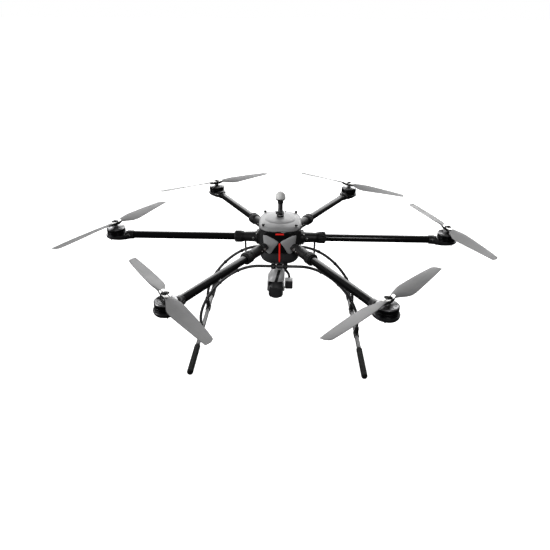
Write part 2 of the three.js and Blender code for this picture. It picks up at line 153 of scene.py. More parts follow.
def place(x=0, y=0, z=0, about="", angle=0):
    m = Matrix.Translation((x, y, z))
    return m @ Matrix.Rotation(math.radians(angle), 4, about) if about else m


def facing(position, direction):
    """A frame at position whose +Z points along direction."""
    turn = Vector((0, 0, 1)).rotation_difference(Vector(direction).normalized())
    return Matrix.Translation(position) @ turn.to_matrix().to_4x4()


ALONG_X = Matrix.Rotation(math.pi / 2, 4, "Y")
ALONG_Y = Matrix.Rotation(-math.pi / 2, 4, "X")
SIDEWAYS = Matrix(((0, 0, 1, 0), (1, 0, 0, 0), (0, 1, 0, 0), (0, 0, 0, 1)))  # X, Y, Z go to Y, Z, X


def spaced(count, radius, start=45.0, x=0.0, y=0.0):
    """Points spaced evenly round a circle, the first at start degrees."""
    turns = (math.radians(start + 360 * k / count) for k in range(count))
    return [(x + radius * math.cos(a), y + radius * math.sin(a)) for a in turns]


class Shape:
    """Closed surfaces in mm. Each has its own texture coordinates and its own finish number."""

    def __init__(self):
        self.verts, self.faces, self.uvs, self.finish = [], [], [], []

    def put(self, verts, faces, uvs, finish=0, at=None):
        base = len(self.verts)
        at = at or Matrix.Identity(4)
        self.verts += [at @ Vector(v) for v in verts]
        self.faces += [[base + i for i in f] for f in faces]
        self.uvs += uvs
        self.finish += [finish] * len(faces)

    def lathe(self, profile, finish=0, at=None, segments=64, edge=0.6, warp=None, steps=3):
        """Body of revolution about Z from (radius, height) points."""
        points = rounded(profile, edge, steps)
        top = max(p.x for p in points)
        rows, verts, length = [], [], [0.0]
        for a, b in zip(points, points[1:]):
            length.append(length[-1] + (b - a).length)
        for p in points:
            if p.x < 1e-5:
                rows.append([len(verts)] * segments)
                verts.append((0, 0, p.y))
                continue
            rows.append(list(range(len(verts), len(verts) + segments)))
            for i in range(segments):
                a = TAU * i / segments
                r = warp(p.x, p.y, a) if warp else p.x
                verts.append((r * math.cos(a), r * math.sin(a), p.y))
        faces, uvs = [], []
        for k in range(len(rows) - 1):
            for i in range(segments):
                j = (i + 1) % segments
                quad = {}
                for v, column, level in ((rows[k][i], i, k), (rows[k][j], i + 1, k),
                                         (rows[k + 1][j], i + 1, k + 1), (rows[k + 1][i], i, k + 1)):
                    quad.setdefault(v, (top * TAU * column / segments / 1000, length[level] / 1000))
                if len(quad) > 2:
                    faces.append(list(quad))
                    uvs += quad.values()
        self.put(verts, faces, uvs, finish, at)

    def loft(self, rings, finish=0, at=None, loop=False):
        """Skin over closed rings with the same number of points."""
        n = len(rings[0])
        verts = [tuple(p) for ring in rings for p in ring]
        around = [[0.0] for _ in rings]
        for r, ring in enumerate(rings):
            for i in range(n):
                around[r].append(around[r][-1] + (Vector(ring[(i + 1) % n]) - Vector(ring[i])).length)
        along = [0.0]
        for a, b in zip(rings, rings[1:]):
            along.append(along[-1] + (Vector(b[0]) - Vector(a[0])).length)
        along.append(along[-1] + (Vector(rings[0][0]) - Vector(rings[-1][0])).length)
        faces, uvs = [], []
        for r in range(len(rings) if loop else len(rings) - 1):
            s = (r + 1) % len(rings)
            for i in range(n):
                j = (i + 1) % n
                faces.append([r * n + i, r * n + j, s * n + j, s * n + i])
                for row, column, level in ((r, i, r), (r, i + 1, r), (s, i + 1, r + 1), (s, i, r + 1)):
                    uvs.append((around[row][column] / 1000, along[level] / 1000))
        if not loop:
            for ring, order in ((0, range(n - 1, -1, -1)), (len(rings) - 1, range(n))):
                face = [ring * n + i for i in order]
                faces.append(face)
                uvs += [(verts[v][0] / 1000, verts[v][1] / 1000) for v in face]
        self.put(verts, faces, uvs, finish, at)

    def sweep(self, path, radius, finish=0, sides=20):
        """A round bar along a path. radius is a number or one number for each point."""
        pts = [Vector(p) for p in path]
        radii = radius if hasattr(radius, "__len__") else [radius] * len(pts)
        rings, side = [], None
        for k, p in enumerate(pts):
            run = (pts[min(k + 1, len(pts) - 1)] - pts[max(k - 1, 0)]).normalized()
            if side is None:
                side = run.orthogonal().normalized()
            side = (side - run * side.dot(run)).normalized()
            other = run.cross(side)
            rings.append([p + radii[k] * (side * math.cos(a) + other * math.sin(a))
                          for a in (TAU * i / sides for i in range(sides))])
        self.loft(rings, finish)

    def mesh(self, bm, finish=0, at=None):
        bm.verts.index_update()
        verts = [v.co.copy() for v in bm.verts]
        faces, uvs = [], []
        for f in bm.faces:
            faces.append([v.index for v in f.verts])
            n = [abs(x) for x in f.normal]
            u, w = ((1, 2), (0, 2), (0, 1))[n.index(max(n))]
            uvs += [(v.co[u] / 1000, v.co[w] / 1000) for v in f.verts]
        bm.free()
        self.put(verts, faces, uvs, finish, at)

    def block(self, x0, x1, y0, y1, z0, z1, finish=0, at=None, edge=1.0, steps=2):
        """A box with rounded edges. Each pair of ends is in any order."""
        bm = bmesh.new()
        bmesh.ops.create_cube(bm, size=1)
        middle = Vector((x0 + x1, y0 + y1, z0 + z1)) / 2
        size = Vector((abs(x1 - x0), abs(y1 - y0), abs(z1 - z0)))
        for v in bm.verts:
            v.co = middle + v.co * size
        room = 0.45 * min(size)
        bmesh.ops.bevel(bm, geom=bm.edges[:], offset=min(edge, room), segments=steps, affect="EDGES",
                        profile=0.5)
        self.mesh(bm, finish, at)

    def plate(self, outline, z0, z1, finish=0, at=None, edge=0.8, steps=2, cuts=(), bend=None):
        """An outline in X and Y raised from z0 to z1, with rounded edges. cuts are the X of bend lines."""
        bm = bmesh.new()
        base = bm.faces.new([bm.verts.new((p[0], p[1], z0)) for p in outline])
        bm.normal_update()
        if base.normal.z > 0:
            bmesh.ops.reverse_faces(bm, faces=[base])
        raised = bmesh.ops.extrude_face_region(bm, geom=[base])
        for v in raised["geom"]:
            if isinstance(v, bmesh.types.BMVert):
                v.co.z = z1
        if not any(f.normal.z < 0 and all(abs(v.co.z - z0) < 1e-6 for v in f.verts) for f in bm.faces):
            bmesh.ops.contextual_create(bm, geom=[v for v in bm.verts if abs(v.co.z - z0) < 1e-6])
        bmesh.ops.recalc_face_normals(bm, faces=bm.faces[:])
        rim = [e for e in bm.edges if abs(e.verts[0].co.z - e.verts[1].co.z) < 1e-6]
        if edge > 0:
            bmesh.ops.bevel(bm, geom=rim, offset=edge, segments=steps, affect="EDGES", profile=0.5,
                            clamp_overlap=True)
        for x in cuts:
            bmesh.ops.bisect_plane(bm, geom=bm.verts[:] + bm.edges[:] + bm.faces[:],
                                   plane_co=(x, 0, 0), plane_no=(1, 0, 0))
        if bend:
            for v in bm.verts:
                v.co = Vector(bend(*v.co))
        bm.normal_update()
        self.mesh(bm, finish, at)

    def bolt(self, position, direction, radius=2.6, head=2.0, finish=1, washer=0.0):
        """A socket-head screw with a hexagonal recess, and a washer if it has one."""
        frame_at = facing(position, direction)

        def hexagon(r, z, a):
            if r > 0.56 * radius or z <= 0:
                return r
            return r * 0.9 / math.cos((a % (TAU / 6)) - TAU / 12)

        self.lathe([(0, -0.5), (radius, -0.5), (radius, head * 0.72), (radius * 0.84, head),
                    (radius * 0.52, head), (radius * 0.5, head * 0.35), (0, head * 0.35)],
                   finish, frame_at, segments=24, edge=radius * 0.12, warp=hexagon, steps=2)
        if washer:
            self.lathe([(0, -0.6), (washer, -0.6), (washer, 0.3), (0, 0.3)], finish, frame_at,
                       segments=24, edge=0.2)

    def done(self, name, body, finishes, node=None, at=None, crease=34):
        """Makes the object. finishes are keys of M, and node is the CAD node that it replaces."""
        mesh = bpy.data.meshes.new(name)
        at = at or Matrix.Identity(4)
        mesh.from_pydata([at @ (v / 1000) for v in self.verts], [], self.faces)
        for key in finishes.split():
            mesh.materials.append(M[key])
        mesh.polygons.foreach_set("material_index", self.finish)
        layer = mesh.uv_layers.new(name="surf")
        layer.data.foreach_set("uv", np.array(self.uvs, np.float32).ravel())
        bm = bmesh.new()
        bm.from_mesh(mesh)
        bmesh.ops.recalc_face_normals(bm, faces=bm.faces[:])
        for f in bm.faces:
            f.smooth = True
        for e in bm.edges:
            e.smooth = len(e.link_faces) != 2 or e.calc_face_angle(0) < math.radians(crease)
        bm.to_mesh(mesh)
        bm.free()
        ob = bpy.data.objects.new(name, mesh)
        bpy.context.scene.collection.objects.link(ob)
        ob.matrix_world = Matrix.Translation(HUB)
        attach(ob, body)
        if node:
            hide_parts(node)
        return ob


# ---- materials

class Nodes:
    """Adds nodes to a tree. An input is a value, or the socket to link."""

    def __init__(self, tree):
        self.tree = tree

    def node(self, kind, inputs=(), **settings):
        n = self.tree.nodes.new("ShaderNode" + kind)
        for key, value in settings.items():
            setattr(n, key, value)
        for key, value in dict(inputs).items():
            if isinstance(value, bpy.types.NodeSocket):
                self.tree.links.new(value, n.inputs[key])
            else:
                n.inputs[key].default_value = value
        return n

    def math(self, op, a, b=0.0):
        return self.node("Math", {0: a, 1: b}, operation=op).outputs[0]

    def span(self, value, low, high, start=0.25, end=0.75):
        return self.node("MapRange", {"Value": value, "From Min": start, "From Max": end,
                                      "To Min": low, "To Max": high}).outputs[0]


class Finish(Nodes):
    """A node material. Constants are set on the shader, and textures are linked to it."""

    def __init__(self, name, colour, rough, specular=0.5, coat=0.0, coat_rough=0.03, **sockets):
        self.mat = bpy.data.materials.new(name)
        self.mat.use_nodes = True
        super().__init__(self.mat.node_tree)
        self.shader = self.tree.nodes["Principled BSDF"]
        self.colour, self.normal = colour, None
        sockets.update({"Base Color": (*colour, 1), "Roughness": rough, "Specular IOR Level": specular,
                        "Coat Weight": coat, "Coat Roughness": coat_rough})
        for key, value in sockets.items():
            self.shader.inputs[key.replace("_", " ")].default_value = value

    def where(self, stretch=(1, 1, 1), surf=False):
        """Object coordinates, or the distances along the surface, in metres."""
        if surf:
            source = self.node("UVMap", uv_map="surf").outputs["UV"]
        else:
            source = self.node("TexCoord").outputs["Object"]
        return self.node("Mapping", {"Vector": source, "Scale": stretch}).outputs[0]

    def noise(self, scale, detail=3.0, stretch=(1, 1, 1), surf=False):
        return self.node("TexNoise", {"Vector": self.where(stretch, surf), "Scale": scale,
                                      "Detail": detail, "Roughness": 0.55}).outputs["Fac"]

    def mix(self, fac, a, b):
        a, b = (v if isinstance(v, bpy.types.NodeSocket) else (*v, 1) for v in (a, b))
        return self.node("Mix", {0: fac, 6: a, 7: b}, data_type="RGBA").outputs[2]

    def shade(self, factor):
        return tuple(min(c * factor, 1.0) for c in self.colour)

    def use_colour(self, colour):
        self.tree.links.new(colour, self.shader.inputs["Base Color"])

    def use_rough(self, value):
        self.tree.links.new(value, self.shader.inputs["Roughness"])

    def bump(self, height, distance, strength=1.0):
        n = self.node("Bump", {"Height": height, "Distance": distance, "Strength": strength})
        if self.normal:
            self.tree.links.new(self.normal, n.inputs["Normal"])
        self.normal = n.outputs[0]
        self.tree.links.new(self.normal, self.shader.inputs["Normal"])

    def edges(self, low=0.52, high=0.6):
        """1 on worn convex edges, 0 elsewhere, broken up by noise."""
        point = self.node("NewGeometry").outputs["Pointiness"]
        worn = self.span(point, 0, 1, low, high)
        patches = self.span(self.noise(160, 4), 0, 1, 0.42, 0.62)
        return self.math("MULTIPLY", worn, patches)


def moulded(name, colour, rough, vary=0.1, grain=0.00003, grain_scale=900, wear=0.35, **sockets):
    """Moulded or painted plastic: soft colour drift, fine grain, and paler worn edges."""
    f = Finish(name, colour, rough, **sockets)
    drift = f.mix(f.span(f.noise(14, 3), 0, 1), f.shade(1 - vary), f.shade(1 + vary))
    speck = f.span(f.noise(520, 2), 0, 1, 0.35, 0.7)
    base = f.mix(f.math("MULTIPLY", speck, 0.25), drift, f.shade(1 + 2.2 * vary))
    pale = tuple(min(1.0, c * 1.5 + 0.05) for c in colour)
    f.use_colour(f.mix(f.math("MULTIPLY", f.edges(), wear), base, pale))
    f.use_rough(f.span(f.math("ADD", f.math("MULTIPLY", f.noise(38, 4), 0.7),
                              f.math("MULTIPLY", f.noise(300, 2), 0.3)), rough - 0.07, rough + 0.09))
    f.bump(f.noise(grain_scale, 2), grain)
    return f.mat


def woven_carbon(name, colour, rough, tow=0.0021, coat=1.0):
    """Twill carbon under clear coat. The tows follow the distances along the surface."""
    f = Finish(name, colour, rough, coat=coat, coat_rough=0.17, specular=0.0)
    split = f.node("SeparateXYZ", {0: f.where((1 / tow, 1 / tow, 1), surf=True)})
    u, v = split.outputs[0], split.outputs[1]
    step = f.math("ADD", f.math("FLOOR", u), f.math("FLOOR", v))
    over = f.math("LESS_THAN", f.math("FLOORED_MODULO", step, 4.0), 1.5)
    across = f.math("PINGPONG", u, 0.5)
    down = f.math("PINGPONG", v, 0.5)
    crown = f.mix(over, (0, 0, 0), (1, 1, 1))
    height = f.math("ADD", f.math("MULTIPLY", over, across),
                    f.math("MULTIPLY", f.math("SUBTRACT", 1.0, over), down))
    fibres = f.noise(2200, 2, (6, 0.5, 1), surf=True)
    tone = f.mix(crown, f.shade(0.7), f.shade(1.9))
    f.use_colour(f.mix(f.math("MULTIPLY", fibres, 0.5), tone, f.shade(0.5)))
    f.use_rough(f.span(f.math("ADD", f.math("MULTIPLY", over, 0.3), f.noise(60, 3)),
                       rough - 0.05, rough + 0.12, 0.3, 1.1))
    f.bump(height, 0.00008, 0.5)
    return f.mat


def metal(name, colour, rough, spin=True):
    """Turned or brushed metal: fine lines run round the surface."""
    f = Finish(name, colour, rough, Metallic=1.0)
    stretch = (4, 2600, 1) if spin else (30, 900, 1)
    lines = f.noise(1.0, 4, stretch, surf=True)
    f.use_colour(f.mix(f.span(f.noise(24, 3), 0, 1), f.shade(0.86), f.shade(1.12)))
    f.use_rough(f.span(f.math("ADD", f.math("MULTIPLY", lines, 0.5), f.math("MULTIPLY", f.noise(90, 3), 0.5)),
                       rough - 0.06, rough + 0.12))
    f.bump(lines, 0.000015)
    return f.mat


def blade_finish(name, colour, rough):
    """Satin composite blade: long fibres under paint, mottled sheen, small chips on the edges."""
    f = Finish(name, colour, rough, specular=0.15)
    fibre = f.noise(1.0, 3, (900, 14, 1), surf=True)
    cloud = f.noise(22, 4)
    tone = f.mix(f.span(f.math("ADD", f.math("MULTIPLY", fibre, 0.5), f.math("MULTIPLY", cloud, 0.5)), 0, 1),
                 f.shade(0.84), f.shade(1.14))
    f.use_colour(f.mix(f.math("MULTIPLY", f.edges(0.53, 0.62), 0.5), tone, f.shade(1.7)))
    f.use_rough(f.span(cloud, rough - 0.06, rough + 0.1))
    f.bump(fibre, 0.00003)
    f.bump(f.noise(700, 2), 0.00001)
    return f.mat


def foam(name, colour, rough):
    f = Finish(name, colour, rough, specular=0.15)
    cells = f.node("TexVoronoi", {"Vector": f.where(), "Scale": 900.0}, feature="F1").outputs["Distance"]
    pore_dips_and_shade = f.span(cells, 0, 1, 0.1, 0.7)
    # The colour darkens in the pore dips that the bump presses in: painted shade in the recesses
    f.use_colour(f.mix(pore_dips_and_shade, f.shade(0.5), f.shade(1.5)))
    f.use_rough(f.span(f.noise(60, 4), rough - 0.1, rough + 0.05))
    f.bump(pore_dips_and_shade, 0.00022, 0.8)
    f.bump(f.noise(90, 4), 0.0003, 0.5)
    return f.mat


def gloss(name, colour, rough, **sockets):
    """Polished plastic: fine swirl marks and a slight ripple."""
    f = Finish(name, colour, rough, coat=1.0, **sockets)
    f.use_colour(f.mix(f.span(f.noise(18, 3), 0, 1), f.shade(0.8), f.shade(1.25)))
    marks = f.span(f.noise(1.0, 5, (90, 700, 240)), 0, 1, 0.5, 0.8)
    f.use_rough(f.span(marks, rough, rough + 0.14, 0, 1))
    f.bump(f.noise(30, 2), 0.00012, 0.5)
    return f.mat


def grey(value, blue=0.0):
    return (value, value, value + blue)


M = {
    "carbon": woven_carbon("carbon_gloss", grey(0.0024, 0.0003), 0.5, coat=0.62),
    "carbon_satin": woven_carbon("carbon_satin", grey(0.02, 0.001), 0.45, 0.0016, 0.35),
    "nylon": moulded("nylon_black", grey(0.009, 0.0005), 0.46, specular=0.3),
    "collar": moulded("collar_black", grey(0.006, 0.0005), 0.5, grain=0.00006, wear=0.25,
                      specular=0.25),
    "pod": moulded("pod_black", grey(0.01, 0.001), 0.36, coat=0.25, coat_rough=0.15,
                   specular=0.25),
    "canopy": moulded("canopy_grey", grey(0.27, 0.003), 0.42, vary=0.06, specular=0.22),
    "panel": moulded("panel_grey", grey(0.36, 0.004), 0.4, vary=0.06, specular=0.3),
    "belly": moulded("belly_grey", grey(0.036, 0.002), 0.3, vary=0.08, coat=0.4, coat_rough=0.16),
    "visor": gloss("visor_black", grey(0.003, 0.0005), 0.08, specular=0.1),
    "red": gloss("red_lens", (0.55, 0.012, 0.01), 0.2, Emission_Color=(1, 0.03, 0.02, 1),
                 Emission_Strength=0.35),
    "blade": blade_finish("blade_grey", grey(0.175, 0.001), 0.46),
    # A darker copy of the blade finish, put on the underside and along both edges of the top: painted shade
    "blade_under": blade_finish("blade_under", grey(0.05, 0.002), 0.46),
    "bell": metal("bell_black", grey(0.03, 0.002), 0.26),
    "bell_top": metal("bell_top", grey(0.2, 0.004), 0.36),
    "steel": metal("steel", grey(0.5, -0.01), 0.28, spin=False),
    "nut": metal("nut_dark", grey(0.14, 0.005), 0.32),
    "rod": moulded("rod_grey", (0.11, 0.108, 0.105), 0.4),
    "copper": moulded("copper_winding", (0.42, 0.16, 0.05), 0.35, grain=0.0001, grain_scale=1400,
                      Metallic=0.8),
    "foam": foam("grip_foam", grey(0.006), 0.85),
    "mast": metal("mast_grey", grey(0.16, 0.005), 0.34),
    "rubber": moulded("rubber_black", grey(0.01), 0.7, grain=0.00008, wear=0.1),
    "gear": moulded("gear_tube", grey(0.045, 0.001), 0.4, specular=0.4),
    "dome": moulded("dome_white", grey(0.8, -0.01), 0.36, vary=0.04, specular=0.4),
    "turret": moulded("turret_grey", grey(0.5, 0.005), 0.36, vary=0.05),
    "charcoal": moulded("charcoal", grey(0.028, 0.002), 0.42, specular=0.3),
    "glass": gloss("window_glass", grey(0.03, 0.002), 0.1, specular=0.2),
    "wrap": moulded("battery_wrap", (0.02, 0.035, 0.07), 0.4, coat=0.3),
    "board": moulded("controller_box", grey(0.03, 0.003), 0.4, Metallic=0.6),
}

# ---- arms


def build_arm(name):
    angle = azimuth(name)
    at = Matrix.Translation((0, 0, ARM_Z / 1000)) @ Matrix.Rotation(angle, 4, "Z")
    root, mouth = reach("socket_" + name, angle)
    collar, collar_end = reach("lock_collar_" + name, angle)
    tube, tube_end = reach("arm_tube_" + name, angle)
    side = name in ("left", "right")

    # Carbon tube with turned ends
    s = Shape()
    s.lathe([(13, tube), (14.4, tube), (15, tube + 1), (15, tube_end - 1), (14.4, tube_end),
             (13, tube_end), (13, tube)], 0, ALONG_X, edge=0.3)
    s.done("tube_" + name, "arm_" + name, "carbon", "arm_tube_" + name, at)

    # Socket: root bracket on the hub, ribbed barrel, screws
    s = Shape()
    wide = 25 if side else 15
    throat = root + (16 if side else 26)
    s.lathe([(0, root), (wide - 3, root), (wide, root + 3, 1.5), (wide, throat - 3, 2),
             (21.5 if side else 19.5, throat + 7, 4), (19.5, mouth - 4), (19.2, mouth), (15.4, mouth),
             (15.4, mouth - 39), (0, mouth - 39)], 0, ALONG_X, segments=72)
    x = throat + 15
    s.lathe([(19.3, x), (20.3, x + 0.6), (20.3, x + 3.4), (19.3, x + 4)], 0, ALONG_X, edge=0.4)
    for sign in (-1, 1):
        s.block(root + 4, throat + 22, sign * 17 - 3, sign * 17 + 3, -4.5, 4.5, 0, edge=1.6)
    if side:
        for y, z in ((-19, -19), (-19, 19), (19, -19), (19, 19)):
            s.lathe([(0, root), (5.5, root), (5.5, root + 12), (4.5, root + 15), (0, root + 15)], 0,
                    place(0, y, z) @ ALONG_X, segments=28)
            s.bolt((root + 15, y, z), (1, 0, 0), 3.1, 2.6)
        for y in (-1, 1):
            s.bolt((109, y * 19.6, 1), (0, y, 0), 5.4, 3.4, washer=7)
    else:
        for y in (-1, 1):
            s.bolt((root + 32, y * 19.6, 3), (0, y, 0.15), 4.6, 3, washer=6)
            s.bolt((root + 52, y * 19.6, 3), (0, y, 0.15), 2.6, 2.2, washer=3.4)
        s.bolt((root + 40, 0, 20.3), (0, 0, 1), 3.0, 2.4, washer=4.0)
    s.done("root_" + name, "airframe", "nylon steel", "socket_" + name, at)

    # Locking collar: tapered skirt, finger flutes, and a raised stop
    def flutes(r, z, a):
        inside = collar + 12 < z < collar_end - 3.5 and r > 22.5
        return r - 1.3 * max(0.0, math.cos(18 * a)) ** 2 if inside else r

    s = Shape()
    s.lathe([(20.3, collar), (21.2, collar), (23.4, collar + 8), (24, collar + 10.5), (24, collar + 12.1),
             (23.9, collar + 12.6), (23.9, collar_end - 4), (24, collar_end - 3.4), (24, collar_end - 2.2),
             (22.2, collar_end), (15.5, collar_end), (15.5, collar + 20.2), (20.3, collar + 20.2),
             (20.3, collar)], 0, ALONG_X, segments=144, edge=0.5, warp=flutes)
    s.lathe([(15.5, collar_end - 1), (18.6, collar_end - 1), (18.6, collar_end + 1.2),
             (17, collar_end + 2.2), (15.5, collar_end + 2.2)], 1, ALONG_X, edge=0.4)
    s.block(collar + 13, collar_end - 5, -3, 3, 22.6, 25, 1, edge=0.8)
    s.done("collar_" + name, "collar_" + name, "collar rubber", "lock_collar_" + name, at)

    build_pod(name, at)
    build_bell(name, at)
    build_propeller(name, at, angle)


def build_pod(name, at):
    """Teardrop pod, tube clamp, motor base and windings."""
    start, _ = reach("motor_mount_" + name, azimuth(name))
    table = [  # distance inboard of the motor axis, half width, top, bottom, squareness of top
        (-70, 17.6, 17.4, -17.4, 2.0), (-60, 18.2, 17.6, -17.8, 2.0), (-52, 20.5, 17.2, -18.2, 2.1),
        (-46, 24.0, 14.8, -18.6, 2.3), (-41, 28.0, 9.5, -19.0, 2.8), (-36, 32.0, 5.2, -19.2, 3.4),
        (-30, 35.6, 3.6, -19.2, 4.5), (-20, 39.6, 3.5, -18.8, 6.0), (-10, 41.6, 3.5, -18.2, 6.0),
        (0, 42.0, 3.5, -17.6, 6.0), (10, 40.8, 3.5, -17.0, 6.0), (20, 36.9, 3.5, -16.0, 6.0),
        (30, 29.4, 3.5, -14.0, 6.0), (36, 21.6, 3.4, -12.0, 5.0), (40, 12.8, 3.0, -9.0, 4.0),
        (41.8, 4.0, 1.0, -6.0, 3.0)]
    rings = []
    for x, w, top, bottom, power in smooth_through(table, 4):
        middle = (top + bottom) / 2 if power < 3 else top - 3.0
        ring = []
        for a in (TAU * i / 56 for i in range(56)):
            n, h = (power, top - middle) if math.sin(a) >= 0 else (2.4, middle - bottom)
            ring.append((MOTOR_R + x, abs(w) * signed_power(math.cos(a), 2 / n),
                         middle + h * signed_power(math.sin(a), 2 / n)))
        rings.append(ring)
    s = Shape()
    s.loft(rings, 0)
    # Clamp band round the tube, with two screws
    s.lathe([(15.2, start - 1), (17, start - 1), (17.4, start), (17.4, start + 7), (17, start + 8),
             (15.2, start + 8)], 3, ALONG_X, edge=0.5)
    for y in (-1, 1):
        s.bolt((MOTOR_R - 58, y * 17.6, 2), (0, y, 0.1), 2.6, 1.8)
    # Motor base, bearing seat and windings
    centre = place(MOTOR_R, 0, 0)
    s.lathe([(0, 3), (36.4, 3), (36.4, 5.6), (34, 7.4), (26, 7.4), (24, 9), (0, 9)], 2, centre,
            segments=96)
    s.lathe([(0, 9), (15, 9), (15, 25), (0, 25)], 2, centre)
    for k in range(18):
        turn = place(MOTOR_R, 0, 0, "Z", k * 20 + 5)
        s.block(15.5, 29.5, -3.4, 3.4, 9.2, 22, 4, turn, edge=2.4, steps=3)
    for x, y in spaced(4, 27, x=MOTOR_R):
        s.bolt((x, y, -17), (0, 0, -1), 2.4, 1.4)
    s.lathe([(0, -18.6), (11, -18.6), (12.5, -17.6), (13, -16), (0, -16)], 3, centre)
    s.done("pod_" + name, "arm_" + name, "pod steel bell nylon copper",
           "motor_mount_" + name, at)


def build_bell(name, at):
    """Rotor can: black wall with bright bands, spoked bright top, and the shaft boss."""
    centre = place(MOTOR_R, 0, 0)
    s = Shape()
    s.lathe([(34, 9.6), (36.6, 9.6), (37, 10.2), (37, 14.6), (36.5, 15), (36.5, 16), (37, 16.4), (37, 27),
             (36.6, 27.3), (34, 27.3), (34, 9.6)], 0, centre, segments=112, edge=0.25)
    s.lathe([(0, 27.3), (36.3, 27.3), (36.3, 28.4), (37, 28.8), (36.9, 29.6), (34.6, 32.0), (34.0, 32.3),
             (33.6, 32.1), (33.2, 32.4), (15, 34.4), (14.6, 34.2), (14.2, 34.5), (9.6, 35.2), (8.8, 36),
             (8.8, 42.6), (8.2, 43.2), (0, 43.2)], 1, centre, segments=112, edge=0.35)
    for k in range(12):
        turn = place(MOTOR_R, 0, 0, "Z", 30 * k)
        slot = rounded_loop([(17.5, -1.1), (28, -1.7), (28, 1.7), (17.5, 1.1)], 0.9)
        s.plate(slot, 30, 33.45, 0, turn, edge=0.2)
    for x, y in spaced(4, 11, x=MOTOR_R):
        s.bolt((x, y, 34.4), (0, 0, 1), 1.3, 0.9, finish=2)
    s.done("bell_" + name, "rotor_" + name, "bell bell_top steel", "motor_bell_" + name, at)


def blade_section(t, count=18):
    """One section of a blade, looking outward, with the leading edge on the +Y side."""
    grow = min(max(t - 0.05, 0) / 0.25, 1)
    full = grow * grow * (3 - 2 * grow)
    taper = max(t - 0.36, 0) / 0.64
    lead = 11 + 9.5 * full - 6 * taper ** 3
    trail = -(11 + 22.5 * full - 18 * taper ** 1.15)
    pitch = math.radians(min(t / 0.16, 1) * (15 - 13 * max(t - 0.35, 0) / 0.65))
    thick = 9 - 6.8 * min(t / 0.5, 1)
    nose = max(0.0, (t - 0.93) / 0.07)
    lead = trail + (lead - trail) * (0.12 + 0.88 * math.sqrt(max(0.0, 1 - nose ** 2.4)))
    ring = []
    for i in range(2 * count):
        over = i < count
        k = i if over else 2 * count - i
        u = 0.5 - 0.5 * math.cos(math.pi * k / count)
        half = 5 * (0.2969 * math.sqrt(u) - 0.126 * u - 0.3516 * u * u + 0.2843 * u ** 3
                    - 0.1015 * u ** 4)
        camber = 0.22 * 4 * u * (1 - u)
        rise = thick * (camber + (0.86 if over else -0.86) * half) * (1 - 0.3 * nose)
        if k in (0, count):
            rise = thick * 0.04 * (1 if over else -1)
        along = lead + (trail - lead) * u
        ring.append((t * BLADE_LENGTH, along * math.cos(pitch) - rise * math.sin(pitch),
                     along * math.sin(pitch) + rise * math.cos(pitch)))
    return ring


def build_propeller(name, at, angle):
    stations = [0.03, 0.06, 0.09, 0.12, 0.15, 0.18, 0.21, 0.24, 0.27, 0.3, 0.33, 0.36, 0.4, 0.45, 0.5,
                0.56, 0.62, 0.68, 0.74, 0.8, 0.86, 0.9, 0.93, 0.945, 0.96, 0.972, 0.982, 0.99, 0.996, 1.0]
    count = 18
    rings = [blade_section(t, count) for t in stations]
    turn = math.degrees(math.radians(BLADES[name]) - angle)
    s = Shape()
    for half in (0, 180):
        where = place(MOTOR_R, 0, PROP_Z, "Z", turn + half)
        before = len(s.faces)
        s.loft(rings, 0, where)
        # The underside and a strip along each edge of the top take the darker blade finish: painted shade
        for k in range(before, len(s.faces)):
            step = (k - before) % (2 * count)
            if (step < 2 or step >= count - 2) and len(s.faces[k]) == 4:
                s.finish[k] = 1
        # Root block that the clamp holds
        ears = rounded_loop([(4, -11), (30, -9), (38, -5), (38, 7), (30, 11), (4, 12)], 4)
        s.plate(ears, -5.2, 2.4, 2, where, edge=1.6, steps=3)
        s.bolt(where @ Vector((23, 0, 2.9)), (0, 0, 1), 3.2, 2.2, finish=3, washer=4.4)
    where = place(MOTOR_R, 0, PROP_Z, "Z", turn)
    clamp = rounded_loop([(-29, -7.5), (-12, -13.5), (12, -13.5), (29, -7.5), (29, 7.5), (12, 13.5),
                          (-12, 13.5), (-29, 7.5)], 5)
    s.plate(clamp, 2.2, 5.2, 3, where, edge=1.0)
    s.plate(clamp, -7, -5, 2, where, edge=0.8)
    s.lathe([(0, -6.8), (14.6, -6.8), (15, -5), (15, 4), (14, 5.2), (0, 5.2)], 2, where)
    s.lathe([(0, 5), (8.6, 5), (8.6, 6), (6.6, 7.2), (6.2, 9.2), (4.8, 10.4), (0, 10.8)], 2, where,
            segments=40, edge=0.5)
    s.done("prop_" + name, "rotor_" + name, "blade blade_under nylon steel",
           "propeller_" + name, at)


for arm_name in ARMS:
    build_arm(arm_name)

# ---- hub
HUB_LOW, HUB_HIGH = corners("hub_frame")


def soft_ring(half_width, half_depth, z, count=96, power=3.2):
    ring = []
    for i in range(count):
        a = TAU * (i + 0.5) / count
        c, s = math.cos(a), math.sin(a)
        r = (abs(c) ** power + abs(s) ** power) ** (-1 / power)
        ring.append((half_width * c * r, half_depth * s * r, z))
    return ring


def octagon(offset):
    x, y = HUB_HIGH.x + offset, HUB_HIGH.y + offset
    cx, cy = 51 + offset * 0.27, 83 + offset * 0.58
    return [(x, -cy), (x, cy), (cx, y), (-cx, y), (-x, cy), (-x, -cy), (-cx, -y), (cx, -y)]


